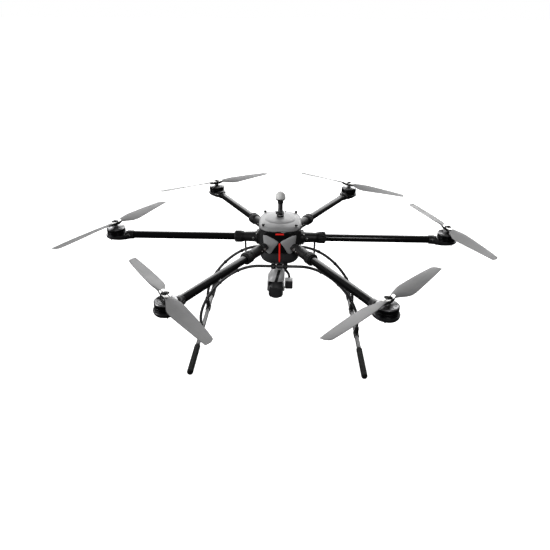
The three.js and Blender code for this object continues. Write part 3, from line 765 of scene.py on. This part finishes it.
def build_hub():
    z0, z1 = HUB_LOW.z, HUB_HIGH.z
    s = Shape()
    outer, inner = rounded_loop(octagon(-1.0), 4), rounded_loop(octagon(-4.5), 3)
    s.loft(levelled((inner, z0 + 0.2), (outer, z0 + 0.2), (outer, z0 + 30), (outer, z1 - 30),
                    (outer, z1 - 0.2), (inner, z1 - 0.2)), 0, loop=True)
    # Plates at top, deck and bottom
    rim, lip = rounded_loop(octagon(0.8), 4), rounded_loop(octagon(-7), 3)
    for low, high in ((z0, z0 + 2.4), (z1 - 2.6, z1)):
        s.loft(levelled((rim, low), (rim, high), (lip, high), (lip, low)), 1, loop=True)
    s.plate(rounded_loop(octagon(-5), 3), 408.6, 411.4, 1, edge=0.3)
    # Ribs and louvres on the flanks, beside the side arms
    for sign in (-1, 1):
        for y in (-76, -66, -56, -46, -36, 36, 46, 56, 66, 76):
            x = sign * HUB_HIGH.x
            s.block(x - sign, x + sign * 4, y - 2, y + 2, z0 + 5, z1 - 6, 0, edge=1.4, steps=3)
        s.block(sign * 79, sign * 83.5, -32, 32, z0 + 3, z0 + 9, 0, edge=1.5)
        s.block(sign * 79, sign * 83.5, -32, 32, z1 - 10, z1 - 4, 0, edge=1.5)
        for y in (-28, 28):
            for z in (z0 + 6, z1 - 7):
                s.bolt((sign * 83.4, y, z), (sign, 0, 0), 2.4, 1.8)
    # Rear door with its latch and vents
    back = HUB_HIGH.y
    upright = Matrix.Rotation(math.pi / 2, 4, "X")
    s.plate(oblong(42, z0 + 8, z1 - 8, 6), -back - 2.8, -back + 1, 2, upright, edge=1.2, steps=3)
    for k in range(6):
        z = z0 + 20 + 6 * k
        s.block(-30, 30, back + 2.2, back + 4.2, z, z + 2.6, 0, edge=0.9)
    s.block(-11, 11, back + 2, back + 5, z1 - 24, z1 - 14, 0, edge=1.4, steps=3)
    for x in (-37, 37):
        for z in (z0 + 13, z1 - 13):
            s.bolt((x, back + 2.6, z), (0, 1, 0), 2.4, 1.6)
    s.done("hub_shell", "airframe", "nylon carbon_satin panel steel", "hub_frame")


def build_canopy():
    low, high = corners("canopy")
    w, d, rim, crown = high.x, high.y, low.z, high.z
    insets = [(0, 0, 1.2), (0, 0, 3.2), (1.2, 1.2, 3.6), (1.2, 1.2, 4.4), (0.1, 0.1, 4.8), (1, 1.2, 8),
              (3.6, 4.6, 11.4), (7, 10, 14.2), (10.5, 17, 16.4), (14.5, 25, 18.2), (17.5, 31, 19.3),
              (19.5, 35, 19.8), (20.6, 37, 19.9), (21.8, 38.6, 20.4), (23.4, 40.6, 21.6), (25.6, 43, 22.8),
              (29, 47, 23.9), (36, 54, 25), (46, 66, 25.8), (57, 79, 26.2), (68, 90, 26.4)]
    steps = [(w * 0.985, d * 0.985, 0)] + [(w - a, d - b, z) for a, b, z in insets]
    round_off = [3.2 - 1.0 * min(max((z - 12) / 9, 0), 1) for a, b, z in steps]
    outer = [soft_ring(a, b, rim + min(z, crown - rim), power=p) for (a, b, z), p in zip(steps, round_off)]
    inner = [soft_ring(a - 2.4, b - 2.4, rim + max(z - 2.4, 0), power=p)
             for (a, b, z), p in zip(steps[::-1], round_off[::-1])]
    s = Shape()
    s.loft(inner + outer, 0)
    # Dark seal between lid and hub
    seal = ((2, -0.2), (0.6, 0), (0.6, 1), (2, 1))
    s.loft([soft_ring(w - inset, d - inset, rim + z) for inset, z in seal], 1, loop=True)
    # Rear vents
    for k in range(5):
        x = -20 + 10 * k
        s.block(x - 3.2, x + 3.2, d - 19, d - 11, rim + 13.5, rim + 17.6, 1, edge=1.3)
    s.done("canopy_lid", "airframe", "canopy nylon", "canopy")

    def knurl(r, z, a):
        return r - 0.35 * (0.5 + 0.5 * math.cos(20 * a)) if r > 4 and z > 15.6 else r

    s = Shape()
    for x in (-64, 64):
        for y in (-76, 76):
            s.lathe([(0, 8), (3.4, 8), (3.4, 15), (5.6, 15.4), (6, 16.2), (6, 21), (5, 22.6), (0, 23.2)], 0,
                    place(x, y, rim), segments=80, edge=0.5, warp=knurl)
            s.lathe([(3.2, 14.6), (6.8, 14.6), (6.8, 15.3), (3.2, 15.3)], 1, place(x, y, rim), edge=0.2)
    s.done("canopy_knobs", "airframe", "nylon steel")


def nose_bend(front):
    """Takes a flat plate drawn as X, Z to the slightly bowed nose of the hub."""
    def bend(x, y, z):
        return (x, front + NOSE_BOW * x * x + z, y)
    return bend


def pillow(shape, outline, front, rise):
    """A closed curve in X and Z on the bowed nose, padded out towards its middle."""
    points = [Vector(p) for p in smooth_through(outline + outline[:1], 5)[:-1]]
    middle = sum(points, Vector((0, 0))) / len(points)
    rings = []
    for share, level in ((1, -3), (1, 0), (0.985, 0.3), (0.95, 0.52), (0.88, 0.7), (0.75, 0.84),
                         (0.55, 0.94), (0.3, 0.99), (0.1, 1.0)):
        ring = []
        for p in points:
            q = middle + (p - middle) * share
            lift = level * rise if level > 0 else level
            ring.append((q.x, front + NOSE_BOW * q.x * q.x - lift, q.y))
        rings.append(ring)
    shape.loft(rings)


def build_nose():
    low, high = corners("front_fairing")
    front, top, bottom = low.y, high.z, low.z
    s = Shape()
    face = rounded_loop([(-63, top - 13), (-48, top - 1), (48, top - 1), (63, top - 13), (63, bottom + 48),
                         (46, bottom + 5), (36, bottom - 3), (-36, bottom - 3), (-46, bottom + 5),
                         (-63, bottom + 48)], 4)
    s.plate(face, 1.6, 7, 0, edge=0.8, cuts=range(-60, 61, 6), bend=nose_bend(front))
    visor = [(-57, 469), (-40, 476), (-20, 481), (0, 482.6), (20, 481), (40, 476), (57, 469), (40, 461.5),
             (22, 452.5), (9, 444), (0, 439), (-9, 444), (-22, 452.5), (-40, 461.5)]
    pillow(s, visor, front + 1.4, 2.4)
    s.done("nose_visor", "airframe", "visor", "front_fairing")

    # Two padded cheeks that leave an hourglass of gloss black between them
    s = Shape()
    cheek = [(-64, 465), (-63.6, 448), (-61.5, 428), (-57.5, 409), (-51, 395), (-42, 388.5), (-34, 390),
             (-26, 403), (-15, 420), (-4.5, 436.5), (-9, 443), (-20, 450.5), (-36, 459), (-51, 465.5)]
    for sign in (-1, 1):
        curve = [(-sign * x, z) for x, z in cheek]
        pillow(s, curve if sign < 0 else curve[::-1], front + 1.4, 4.6)
    for sign in (-1, 1):
        s.bolt((sign * 52, front + NOSE_BOW * 52 * 52 - 1.4, 452), (sign * 0.2, -1, 0), 1.6, 1.0)
    s.done("nose_cheeks", "airframe", "panel nylon")

    s = Shape()
    strip = rounded_loop([(-3, 433), (0, 437), (3, 433), (3.2, bottom - 8), (-3.2, bottom - 8)], 1.6)
    s.plate(strip, -0.8, 1.5, 0, edge=0.8, bend=nose_bend(front))
    mark = rounded_loop([(-17, 470), (17, 470), (15.5, 476), (-15.5, 476)], 1.8)
    s.plate(mark, -1.6, 0.4, 0, edge=0.3, bend=nose_bend(front))
    s.done("nose_light", "airframe", "red")


BELLY_STEPS = [(1, 0), (1.0, -8), (0.998, -16), (0.992, -24), (0.972, -32), (0.94, -39), (0.895, -45.5),
               (0.835, -51), (0.76, -56), (0.67, -60.2), (0.59, -62.8), (0.51, -64.4), (0.45, -65.1),
               (0.4, -65.2), (0.2, -65.2)]


def build_belly():
    low, high = corners("belly_shell")
    w, d, rim = high.x, high.y, high.z
    outer = [soft_ring(w * k, d * k, rim + z) for k, z in BELLY_STEPS]
    inner = [soft_ring(w * k - 3, d * k - 3, rim + z + (0 if z == 0 else 3)) for k, z in BELLY_STEPS]
    s = Shape()
    s.loft(outer[::-1] + inner, 0)
    seam = ((0.988, -0.8), (1, -1.2), (1, -3.4), (0.988, -3.8))
    s.loft([soft_ring(w * k, d * k, rim + z) for k, z in seam], 1, loop=True)
    # Cooling slots on both sides, service plate underneath, screws
    for sign in (-1, 1):
        for k in range(7):
            y = -36 + 12 * k
            s.block(sign * (w - 1.5), sign * (w + 0.9), y - 4, y + 4, rim - 17, rim - 13, 1,
                    edge=0.8)
    plate_y = 24
    s.plate(oblong(26, plate_y - 13, plate_y + 13, 4), rim - 65.9, rim - 64.4, 1, edge=0.5)
    for x in (-21, 21):
        for y in (-8, 8):
            s.bolt((x, plate_y + y, rim - 65.7), (0, 0, -1), 2.2, 1.0, finish=2)
    s.done("belly_bowl", "airframe", "belly nylon steel", "belly_shell")

    # Red strip that runs on down the front of the bowl
    path = outward([(-d * k, rim + z) for k, z in BELLY_STEPS if -40 < z <= 0])
    rings = []
    for n, (here, out) in enumerate(path):
        half = 3.2 * (1 - 0.5 * (n / (len(path) - 1)) ** 3)
        near, far = here - out * 1.2, here + out * 0.9
        rings.append([(-half, *near), (half, *near), (half, *far), (half * 0.8, far.x - 0.2, far.y),
                      (-half * 0.8, far.x - 0.2, far.y), (-half, *far)])
    s = Shape()
    s.loft(rings)
    s.done("belly_light", "airframe", "red")


build_hub()
build_canopy()
build_nose()
build_belly()
for node_name, key in (("battery_pack", "wrap"), ("flight_controller", "board")):
    slots = frame["nodes"][node_name].data.materials
    slots.clear()
    slots.append(M[key])

# ---- landing gear


SKID_LOW, SKID_HIGH = corners("skid_right")
LEG_X = (SKID_LOW.x + SKID_HIGH.x) / 2
SKID_Z = (SKID_LOW.z + SKID_HIGH.z) / 2
ARCH_TOP = 331


def arch_path(samples=40):
    """The right half of an arch as X and Z: flat under the belly, then one curve down to the leg."""
    pulls = [(81, ARCH_TOP), (215, ARCH_TOP), (LEG_X, 165), (LEG_X, 73)]
    curve = []
    for t in (k / samples for k in range(samples + 1)):
        m = 1 - t
        weights = (m ** 3, 3 * m * m * t, 3 * m * t * t, t ** 3)
        curve.append([sum(q * p[i] for q, p in zip(weights, pulls)) for i in (0, 1)])
    return curve + [[LEG_X, z] for z in (65, 55, 45, 35, 26, 21)]


def build_arch(name):
    low, high = corners("landing_arch_" + name)
    y = (low.y + high.y) / 2
    half = arch_path()
    path = [(-x, y, z) for x, z in half[::-1]] + [(x, y, z) for x, z in half]
    s = Shape()
    s.sweep(path, 6.0, 0, sides=28)
    # Saddle under the belly: two clamp halves and four screws
    inward = 1 if y < 0 else -1
    for x in (-24, 24):
        s.lathe([(6.1, -9), (10.5, -9), (11, -8), (11, 8), (10.5, 9), (6.1, 9), (6.1, -9)], 1,
                place(x, y, ARCH_TOP) @ ALONG_X, edge=0.6)
        s.block(x - 9, x + 9, y, y + inward * 17, ARCH_TOP - 5, ARCH_TOP + 2, 1, edge=1.4)
        s.bolt((x, y + inward * 13.5, ARCH_TOP - 4.8), (0, 0, -1), 2.8, 2.0, finish=2)
        s.bolt((x, y - inward * 9.8, ARCH_TOP), (0, -inward, 0), 2.2, 1.6, finish=2)
    # Small clips that hold the wiring to the tube
    for index in (9, 18, 27):
        x, z = half[index]
        nx, nz = half[index + 1]
        run = Vector((nx - x, 0, nz - z)).normalized()
        for sign in (-1, 1):
            at = facing((sign * x, y, z), (sign * run.x, 0, run.z))
            s.lathe([(6.05, -3.4), (7.6, -3.4), (7.9, -2.6), (7.9, 2.6), (7.6, 3.4), (6.05, 3.4)], 1, at,
                    segments=40, edge=0.3)
            s.bolt((sign * x, y - inward * 7.6, z), (0, -inward, 0), 1.7, 1.6, finish=2)
    # T-joint on each skid
    for x in (-LEG_X, LEG_X):
        s.lathe([(8.7, -18), (11, -18), (11.5, -17), (11.5, -13), (11, -12), (11, 12), (11.5, 13),
                 (11.5, 17), (11, 18), (8.7, 18), (8.7, -18)], 1, place(x, y, SKID_Z) @ ALONG_Y, edge=0.4)
        s.lathe([(0, 8.9), (9.2, 8.9), (9.2, 34), (8.6, 38), (7.4, 39), (0, 39)], 1, place(x, y, SKID_Z))
        for k in (-1, 1):
            s.bolt((x + k * 9.0, y, SKID_Z + 26), (k, 0, 0), 2.4, 1.8, finish=2)
            s.bolt((x + k * 11.2, y + 9, SKID_Z), (k, 0, 0), 2.0, 1.2, finish=2)
    s.done("gear_arch_" + name, "airframe", "gear nylon steel", "landing_arch_" + name)


def build_skid(name):
    low, high = corners("skid_" + name)
    x, half = (low.x + high.x) / 2, high.y
    s = Shape()
    s.lathe([(0, -half), (7.6, -half), (8.5, -half + 1), (8.5, half - 1), (7.6, half), (0, half)], 0,
            place(x, 0, SKID_Z) @ ALONG_Y, edge=0.4)
    s.done("gear_skid_" + name, "airframe", "gear", "skid_" + name)
    for end, word in ((-1, "front"), (1, "rear")):
        node = f"grip_{word}_{name}"
        g_low, g_high = corners(node)
        inner, outer = (g_high.y, g_low.y) if end < 0 else (g_low.y, g_high.y)
        length = abs(outer - inner)

        def ribs(r, z, a):
            if r < 11.2 or not 8 < z < length - 12:
                return r
            return r - 0.28 * (0.5 + 0.5 * math.cos(TAU * z / 3.0))

        profile = [(8.6, 0), (11, 0), (11.8, 1.6)]
        profile += [(GRIP_RADIUS, 4 + 0.75 * k) for k in range(int((length - 14) / 0.75))]
        profile += [(11.9, length - 8), (11, length - 3.4), (8.4, length - 0.6), (0, length)]
        s = Shape()
        turn = facing((x, inner, GRIP_RADIUS), (0, end, 0))
        s.lathe(profile, 0, turn, segments=56, edge=0.5, warp=ribs)
        s.lathe([(8.55, -4), (9.6, -4), (9.9, -3.4), (9.9, -0.6), (9.6, 0), (8.55, 0)], 1, turn, edge=0.3)
        sleeve = s.done("gear_" + node, "airframe", "foam rubber", node)


for arch_name in ("front", "rear"):
    build_arch(arch_name)
for skid_name in ("left", "right"):
    build_skid(skid_name)


def build_antenna(name):
    low, high = corners("antenna_" + name)
    x, top, bottom = (low.x + high.x) / 2, high.z, low.z
    s = Shape()

    def nut(r, z, a):
        return r * 0.93 / math.cos((a % (TAU / 6)) - TAU / 12) if top - 9 < z < top - 1 and r > 3.2 else r

    s.lathe([(0, top), (3.4, top), (3.6, top - 1), (3.6, top - 7.6), (3.2, top - 8.6), (0, top - 8.6)], 1,
            place(x), segments=48, edge=0.2, warp=nut)
    s.lathe([(0, top - 8), (4.2, top - 8.4), (4.2, top - 20), (4, top - 22), (3.9, top - 26), (3.9, top - 60),
             (3.4, bottom + 4), (2.6, bottom + 0.6), (0, bottom)], 0, place(x), segments=32)
    for k in range(3):
        z = top - 12 - 3 * k
        s.lathe([(4.1, z), (4.4, z - 0.4), (4.4, z - 1.2), (4.1, z - 1.6)], 0, place(x), segments=32,
                edge=0.2)
    s.done("antenna_rod_" + name, "airframe", "rod nut", "antenna_" + name)


build_antenna("left")
build_antenna("right")

# ---- mast
PIVOT = pivot("mast_fold")


def build_mast():
    low, high = corners("mast_base")
    s = Shape()
    s.lathe([(0, low.z - 0.4), (14.5, low.z - 0.4), (14.5, low.z + 2.2), (12.5, low.z + 3.4),
             (0, low.z + 3.6)], 0)
    pz = PIVOT[2]
    for sign in (-1, 1):
        cheek = rounded_loop([(-7, low.z + 1), (7, low.z + 1), (6.6, pz), (5.2, pz + 5), (0, pz + 7),
                              (-5.2, pz + 5), (-6.6, pz)], 2.5)
        x0, x1 = sorted((sign * 9.8, sign * 13.3))
        s.plate(cheek, x0, x1, 0, SIDEWAYS, edge=0.7)
    s.bolt((13.2, 0, pz), (1, 0, 0), 3.6, 2.4)
    s.lathe([(0, 0), (4.6, 0), (5, 0.8), (5, 4.2), (4.2, 5), (0, 5.2)], 0, facing((-13.2, 0, pz), (-1, 0, 0)),
            segments=60, edge=0.4, warp=lambda r, z, a: r - 0.3 * max(0, math.cos(15 * a)) if r > 4.5 else r)
    for x, y in spaced(3, 11.4, math.degrees(0.5)):
        s.bolt((x, y, low.z + 3.0), (0, 0, 1), 1.4, 1.0)
    s.done("mast_foot", "airframe", "nylon steel", "mast_base")

    low, high = corners("gps_mast")
    s = Shape()
    s.lathe([(0, pz), (8.4, pz), (8.8, pz + 4), (9.9, pz + 9, 1), (9.9, pz + 15, 1), (9.5, pz + 16.5),
             (9.5, high.z), (0, high.z)], 0)
    s.lathe([(9.3, high.z - 12), (10.8, high.z - 11.6), (11.6, high.z - 10), (11.6, high.z - 1),
             (9.3, high.z - 1), (9.3, high.z - 12)], 1, edge=0.4)
    s.lathe([(0, -9.3), (8.9, -9.3), (9.3, -8.6), (9.3, 8.6), (8.9, 9.3), (0, 9.3)], 1,
            place(0, 0, pz) @ ALONG_X)
    s.done("mast_pole", "mast", "mast nylon", "gps_mast")

    low, high = corners("gps_dome")
    base, top = low.z, high.z
    s = Shape()
    s.lathe([(0, base), (12.6, base), (13.4, base + 1), (18.6, base + 5.2), (20.2, base + 8.4),
             (20.2, base + 9.6), (0, base + 9.6)], 1, segments=96)
    s.lathe([(0, base + 9.2), (20, base + 9.2), (20.7, base + 10.4), (20.7, base + 14), (20.4, base + 18, 3),
             (19.2, base + 24, 4), (15.8, base + 31, 4), (10.6, base + 36.2, 4), (5, base + 38.5, 4),
             (0, top)], 0, segments=96)
    for k in range(4):
        a = TAU * (k + 0.5) / 4
        rib = smooth_through([(20.6, base + 12), (20.4, base + 18), (19.0, base + 24), (15.4, base + 31),
                              (10.2, base + 36)], 5)
        s.sweep([(r * math.cos(a), r * math.sin(a), z) for r, z in rib], 0.45, 2, sides=8)
    s.lathe([(20.1, base + 9.7), (20.75, base + 9.9), (20.75, base + 10.5), (20.1, base + 10.7)], 1,
            segments=96, edge=0.1)
    s.plate([(-1.6, -8.6), (1.6, -8.6), (0, -5.2)], base + 36.2, base + 38.2, 2, edge=0.2)
    s.done("mast_dome", "mast", "dome nylon panel", "gps_dome", crease=50)


build_mast()

# ---- camera turret
YAW = pivot("turret_yaw")
TILT = pivot("camera_tilt")


def build_turret():
    low, high = corners("gimbal_mount")
    top, neck = high.z, low.z
    s = Shape()
    centre = place(YAW[0], YAW[1])
    s.lathe([(0, top), (29.2, top), (30, top - 0.8), (30, top - 3.4), (28, top - 4.4), (0, top - 4.4)],
            0, centre, segments=80)
    s.lathe([(0, top - 5.6), (26, top - 5.6), (26.6, top - 6.2), (26.6, top - 8.2), (25.4, top - 9),
             (13.4, top - 9.4), (13.4, neck + 6), (14, neck + 5), (14, neck + 1), (13.4, neck),
             (0, neck)], 0, centre, segments=80)
    for x, y in spaced(4, 22, x=YAW[0], y=YAW[1]):
        s.lathe([(0, top - 3), (2.4, top - 3), (3.4, top - 4.2), (3.4, top - 5.6), (2.4, top - 7),
                 (0, top - 7)], 1, place(x, y), segments=28)
    for x, y in spaced(4, 26, 90, YAW[0], YAW[1]):
        s.bolt((x, y, top - 4.2), (0, 0, -1), 1.8, 1.2, finish=2)
    s.done("turret_mount", "airframe", "nylon rubber steel", "gimbal_mount")


def section(x_mid, x_half, y_front, y_back, z, squareness, count=64):
    """One level of the fork housing, rounder in front than behind."""
    middle, depth, power = (y_front + y_back) / 2, (y_back - y_front) / 2, 2 / squareness
    turns = [TAU * i / count for i in range(count)]
    return [(x_mid + x_half * signed_power(math.cos(a), power),
             middle + depth * signed_power(math.sin(a), power), z) for a in turns]


def build_fork():
    low, high = corners("gimbal_yoke")
    cx, cy, cz = TILT
    top = high.z
    # Housing above the ball
    levels = [(-4, 16, -54, 0, top), (-4.4, 20.6, -66, 3, top - 2), (-5.6, 25, -75, 5, top - 6.5),
              (-7.4, 28.6, -82, 6, top - 13), (-9.6, 31.4, -86, 5.4, top - 21.5),
              (-12, 33.8, -87, 4, top - 30), (cx, 34.9, -86.6, 1, cz + 43.6)]
    s = Shape()
    s.loft([section(*level, 3.4) for level in smooth_through(levels, 3)], 0)
    # Cheeks on both sides of the ball
    for sign in (-1, 1):
        x0, x1 = sorted((cx + sign * 30.6, cx + sign * 35))
        cheek = [(-86, cz + 44), (-84.6, cz + 30), (-80, cz + 12), (-75, cz - 3), (-69, cz - 10),
                 (-60, cz - 12), (-51, cz - 10), (-43, cz), (-34, cz + 18), (-22, cz + 36), (-6, cz + 44)]
        s.plate(rounded_loop(cheek, 5), x0, x1, 0, SIDEWAYS, edge=1.6, steps=4)
        cap = facing((cx + sign * 34.8, cy, cz), (sign, 0, 0))
        s.lathe([(0, -1), (10.4, -1), (10.8, 0), (10.4, 1.1), (9.6, 1.5), (0, 1.5)], 1, cap, segments=56)
        for y, z in spaced(3, 6.6, math.degrees(0.4), cy, cz):
            s.bolt((cx + sign * 36.2, y, z), (sign, 0, 0), 1.3, 0.8, finish=2)
    # Black stripe down the brow
    line = [(-54.2, top + 0.2, -1), (-66.4, top - 1.6, -2.6), (-75.6, top - 6.3, -4.6),
            (-82.6, top - 12.9, -7), (-86.6, top - 21.4, -9.6), (-87.6, top - 29.8, -11.8),
            (-87.3, cz + 43.8, -14)]
    fine = smooth_through(line, 4)
    rings = []
    for (here, out), x in zip(outward(fine), (point[2] for point in fine)):
        near, far, crest = here - out * 1.6, here + out * 0.3, here + out * 0.7
        rings.append([(x - 6, *near), (x + 6, *near), (x + 6, *far), (x + 5, *crest), (x - 5, *crest),
                      (x - 6, *far)])
    s.loft(rings, 1)
    # Strut from the right shoulder to the tilt drive
    s.sweep([(14, -16, top - 12.7), (27, -22, top - 16.7), (37, -30, top - 25.7), (41, -38, top - 35.7),
             (41, -42, top - 43.7)], [6, 6, 5.6, 5.2, 5], 1, sides=24)
    s.lathe([(0, -2), (9.6, -2), (10, -1), (10, 1), (9.6, 1.6), (0, 1.6)], 1,
            facing((YAW[0], YAW[1], top - 0.8), (0, 0, 1)))
    s.done("turret_fork", "turret", "turret nylon steel", "gimbal_yoke", crease=40)


def build_camera():
    cx, cy, cz = TILT
    radius, half, flat = 42.0, 30.0, cy - 36.0
    ends = math.sqrt(radius ** 2 - half ** 2) - 1.5
    profile = [(0, -half), (ends, -half)]
    for k in range(25):
        x = -half + 1.2 + (2 * half - 2.4) * k / 24
        profile.append((math.sqrt(radius ** 2 - x ** 2), x))
    s = Shape()
    across = place(cx, cy, cz) @ ALONG_X
    s.lathe(profile + [(ends, half), (0, half)], 0, across, segments=120, edge=0.5)
    for x in (-10, 10):
        s.lathe([(41.7, x - 0.5), (42.05, x - 0.4), (42.05, x + 0.4), (41.7, x + 0.5)], 1, across,
                segments=120, edge=0.1)
    for v in s.verts:
        v.y = max(v.y, flat)
    # Axle stubs
    s.lathe([(0, -34.4), (6, -34.4), (6, 34.4), (0, 34.4)], 1, across)
    # Window bezel: a rounded frame that stands off the flat nose
    upright = Matrix(((1, 0, 0, cx), (0, 0, 1, cy), (0, 1, 0, cz), (0, 0, 0, 1)))

    def frames(*sizes):
        return levelled(*((oblong(w, -h, h, r, 6), y) for w, h, r, y in sizes))

    s.loft(frames((23.6, 18.8, 4, -30), (26.4, 21.6, 6, -28), (26.4, 21.6, 6, -36.4),
                  (25.6, 20.8, 5.4, -37.4), (24.2, 19.4, 4.4, -37.4), (23.6, 18.8, 4, -36.6)),
           0, upright, loop=True)
    s.done("camera_ball", "camera", "charcoal nylon", "camera_body", crease=32)

    s = Shape()
    s.loft(frames((23.5, 18.7, 3.8, -34.4), (23.5, 18.7, 3.8, -36.3), (22.8, 18, 3.4, -36.7)), 0, upright)
    s.done("camera_glass", "camera", "glass", "camera_window")


def build_drive():
    low, high = corners("tilt_drive")
    s = Shape()
    s.block(low.x, high.x, low.y + 2.6, high.y - 5, low.z, high.z, 0, edge=4.5, steps=4)
    s.block(low.x + 1.4, high.x - 1.4, low.y + 0.2, low.y + 8, low.z + 1.4, high.z - 1.4, 1, edge=3.2,
            steps=4)
    s.block(low.x + 3, high.x - 3, high.y - 8, high.y, low.z + 4, high.z - 6, 1, edge=2.4, steps=3)
    centre = ((low.x + high.x) / 2, low.y + 0.3, (low.z + high.z) / 2)
    s.lathe([(0, -0.6), (10.6, -0.6), (10.6, 0), (9.6, 0.2), (9.2, -0.1), (0, -0.1)], 1,
            facing(centre, (0, -1, 0)), edge=0.2)
    for x in (low.x + 5.2, high.x - 5.2):
        for z in (low.z + 5.2, high.z - 5.2):
            s.bolt((x, low.y + 0.5, z), (0, -1, 0), 1.5, 0.2, finish=2)
    for k in range(5):
        y = low.y + 14 + 4.4 * k
        s.block(high.x - 1, high.x, y, y + 2.2, low.z + 8, high.z - 8, 1, edge=0.4)
    s.done("turret_drive", "turret", "turret charcoal steel", "tilt_drive")


build_turret()
build_fork()
build_camera()
build_drive()

# ---- floor, light, camera


def build_floor():
    bpy.ops.mesh.primitive_plane_add(size=400, location=(0, 0, -0.0006))
    floor = bpy.context.object
    floor.name = "studio_floor"
    f = Finish("floor_pale", (0.5, 0.5, 0.5), 0.8, Emission_Color=(1, 1, 1, 1), Emission_Strength=1.0)
    f.use_colour(f.mix(f.span(f.noise(0.6, 2), 0, 1), (0.49, 0.49, 0.49), (0.51, 0.51, 0.51)))
    floor.data.materials.append(f.mat)
    # The studio floor stays out of reflections, as behind a product on a light table
    floor.visible_glossy = False
    floor.visible_diffuse = False


def light_room():
    """A dim room, brighter behind the object, and three softboxes."""
    world = bpy.data.worlds.new("studio")
    bpy.context.scene.world = world
    world.use_nodes = True
    room = Nodes(world.node_tree)
    split = room.node("SeparateXYZ", {0: room.node("TexCoord").outputs[0]})
    above = room.span(split.outputs[2], 0.0, 1.0, -0.05, 0.12)
    behind = room.span(split.outputs[1], 0.05, 0.4, -0.2, 0.9)
    level = room.math("ADD", room.math("MULTIPLY", above, behind), 0.035)
    # The camera itself sees plain white past the end of the floor
    level = room.math("MAXIMUM", level, room.node("LightPath").outputs[0])
    sky = world.node_tree.nodes["Background"]
    sky.inputs[0].default_value = (1, 1, 1, 1)
    room.tree.links.new(level, sky.inputs[1])

    def softbox(name, position, target, size, power):
        light = bpy.data.lights.new(name, "AREA")
        light.shape = "RECTANGLE"
        light.size, light.size_y = size
        light.energy = power
        ob = bpy.data.objects.new(name, light)
        bpy.context.scene.collection.objects.link(ob)
        ob.location = position
        ob.rotation_euler = (Vector(target) - Vector(position)).to_track_quat("-Z", "Y").to_euler()

    softbox("back", (0.3, 3.2, 2.0), (0, 0, 0.45), (5.6, 3.2), 260)
    softbox("left", (-3.0, -0.9, 1.1), (0, 0, 0.35), (1.0, 1.5), 70)
    softbox("front", (0.7, -3.2, 2.3), (0, 0, 0.35), (0.9, 0.7), 36)


def place_camera():
    """The camera of the photograph, found by fitting the six motors."""
    camera = bpy.data.cameras.new("camera")
    camera.sensor_width = 36
    camera.lens = 32.905
    ob = bpy.data.objects.new("camera", camera)
    bpy.context.scene.collection.objects.link(ob)
    az, el, roll = (math.radians(v) for v in (1.5808, 27.2795, 0.3645))
    back = Vector((math.sin(az) * math.cos(el), -math.cos(az) * math.cos(el), math.sin(el)))
    right = Vector((math.cos(az), math.sin(az), 0))
    up = back.cross(right)
    right, up = (right * math.cos(roll) + up * math.sin(roll), up * math.cos(roll) - right * math.sin(roll))
    spot = HUB + Vector((-0.01983, 0, 0.24072)) + back * 2.1443
    ob.matrix_world = Matrix(((right.x, up.x, back.x, spot.x), (right.y, up.y, back.y, spot.y),
                              (right.z, up.z, back.z, spot.z), (0, 0, 0, 1)))
    camera.clip_end = 1000
    bpy.context.scene.camera = ob
    bpy.context.scene.view_settings.view_transform = "Standard"


build_floor()
light_room()
place_camera()
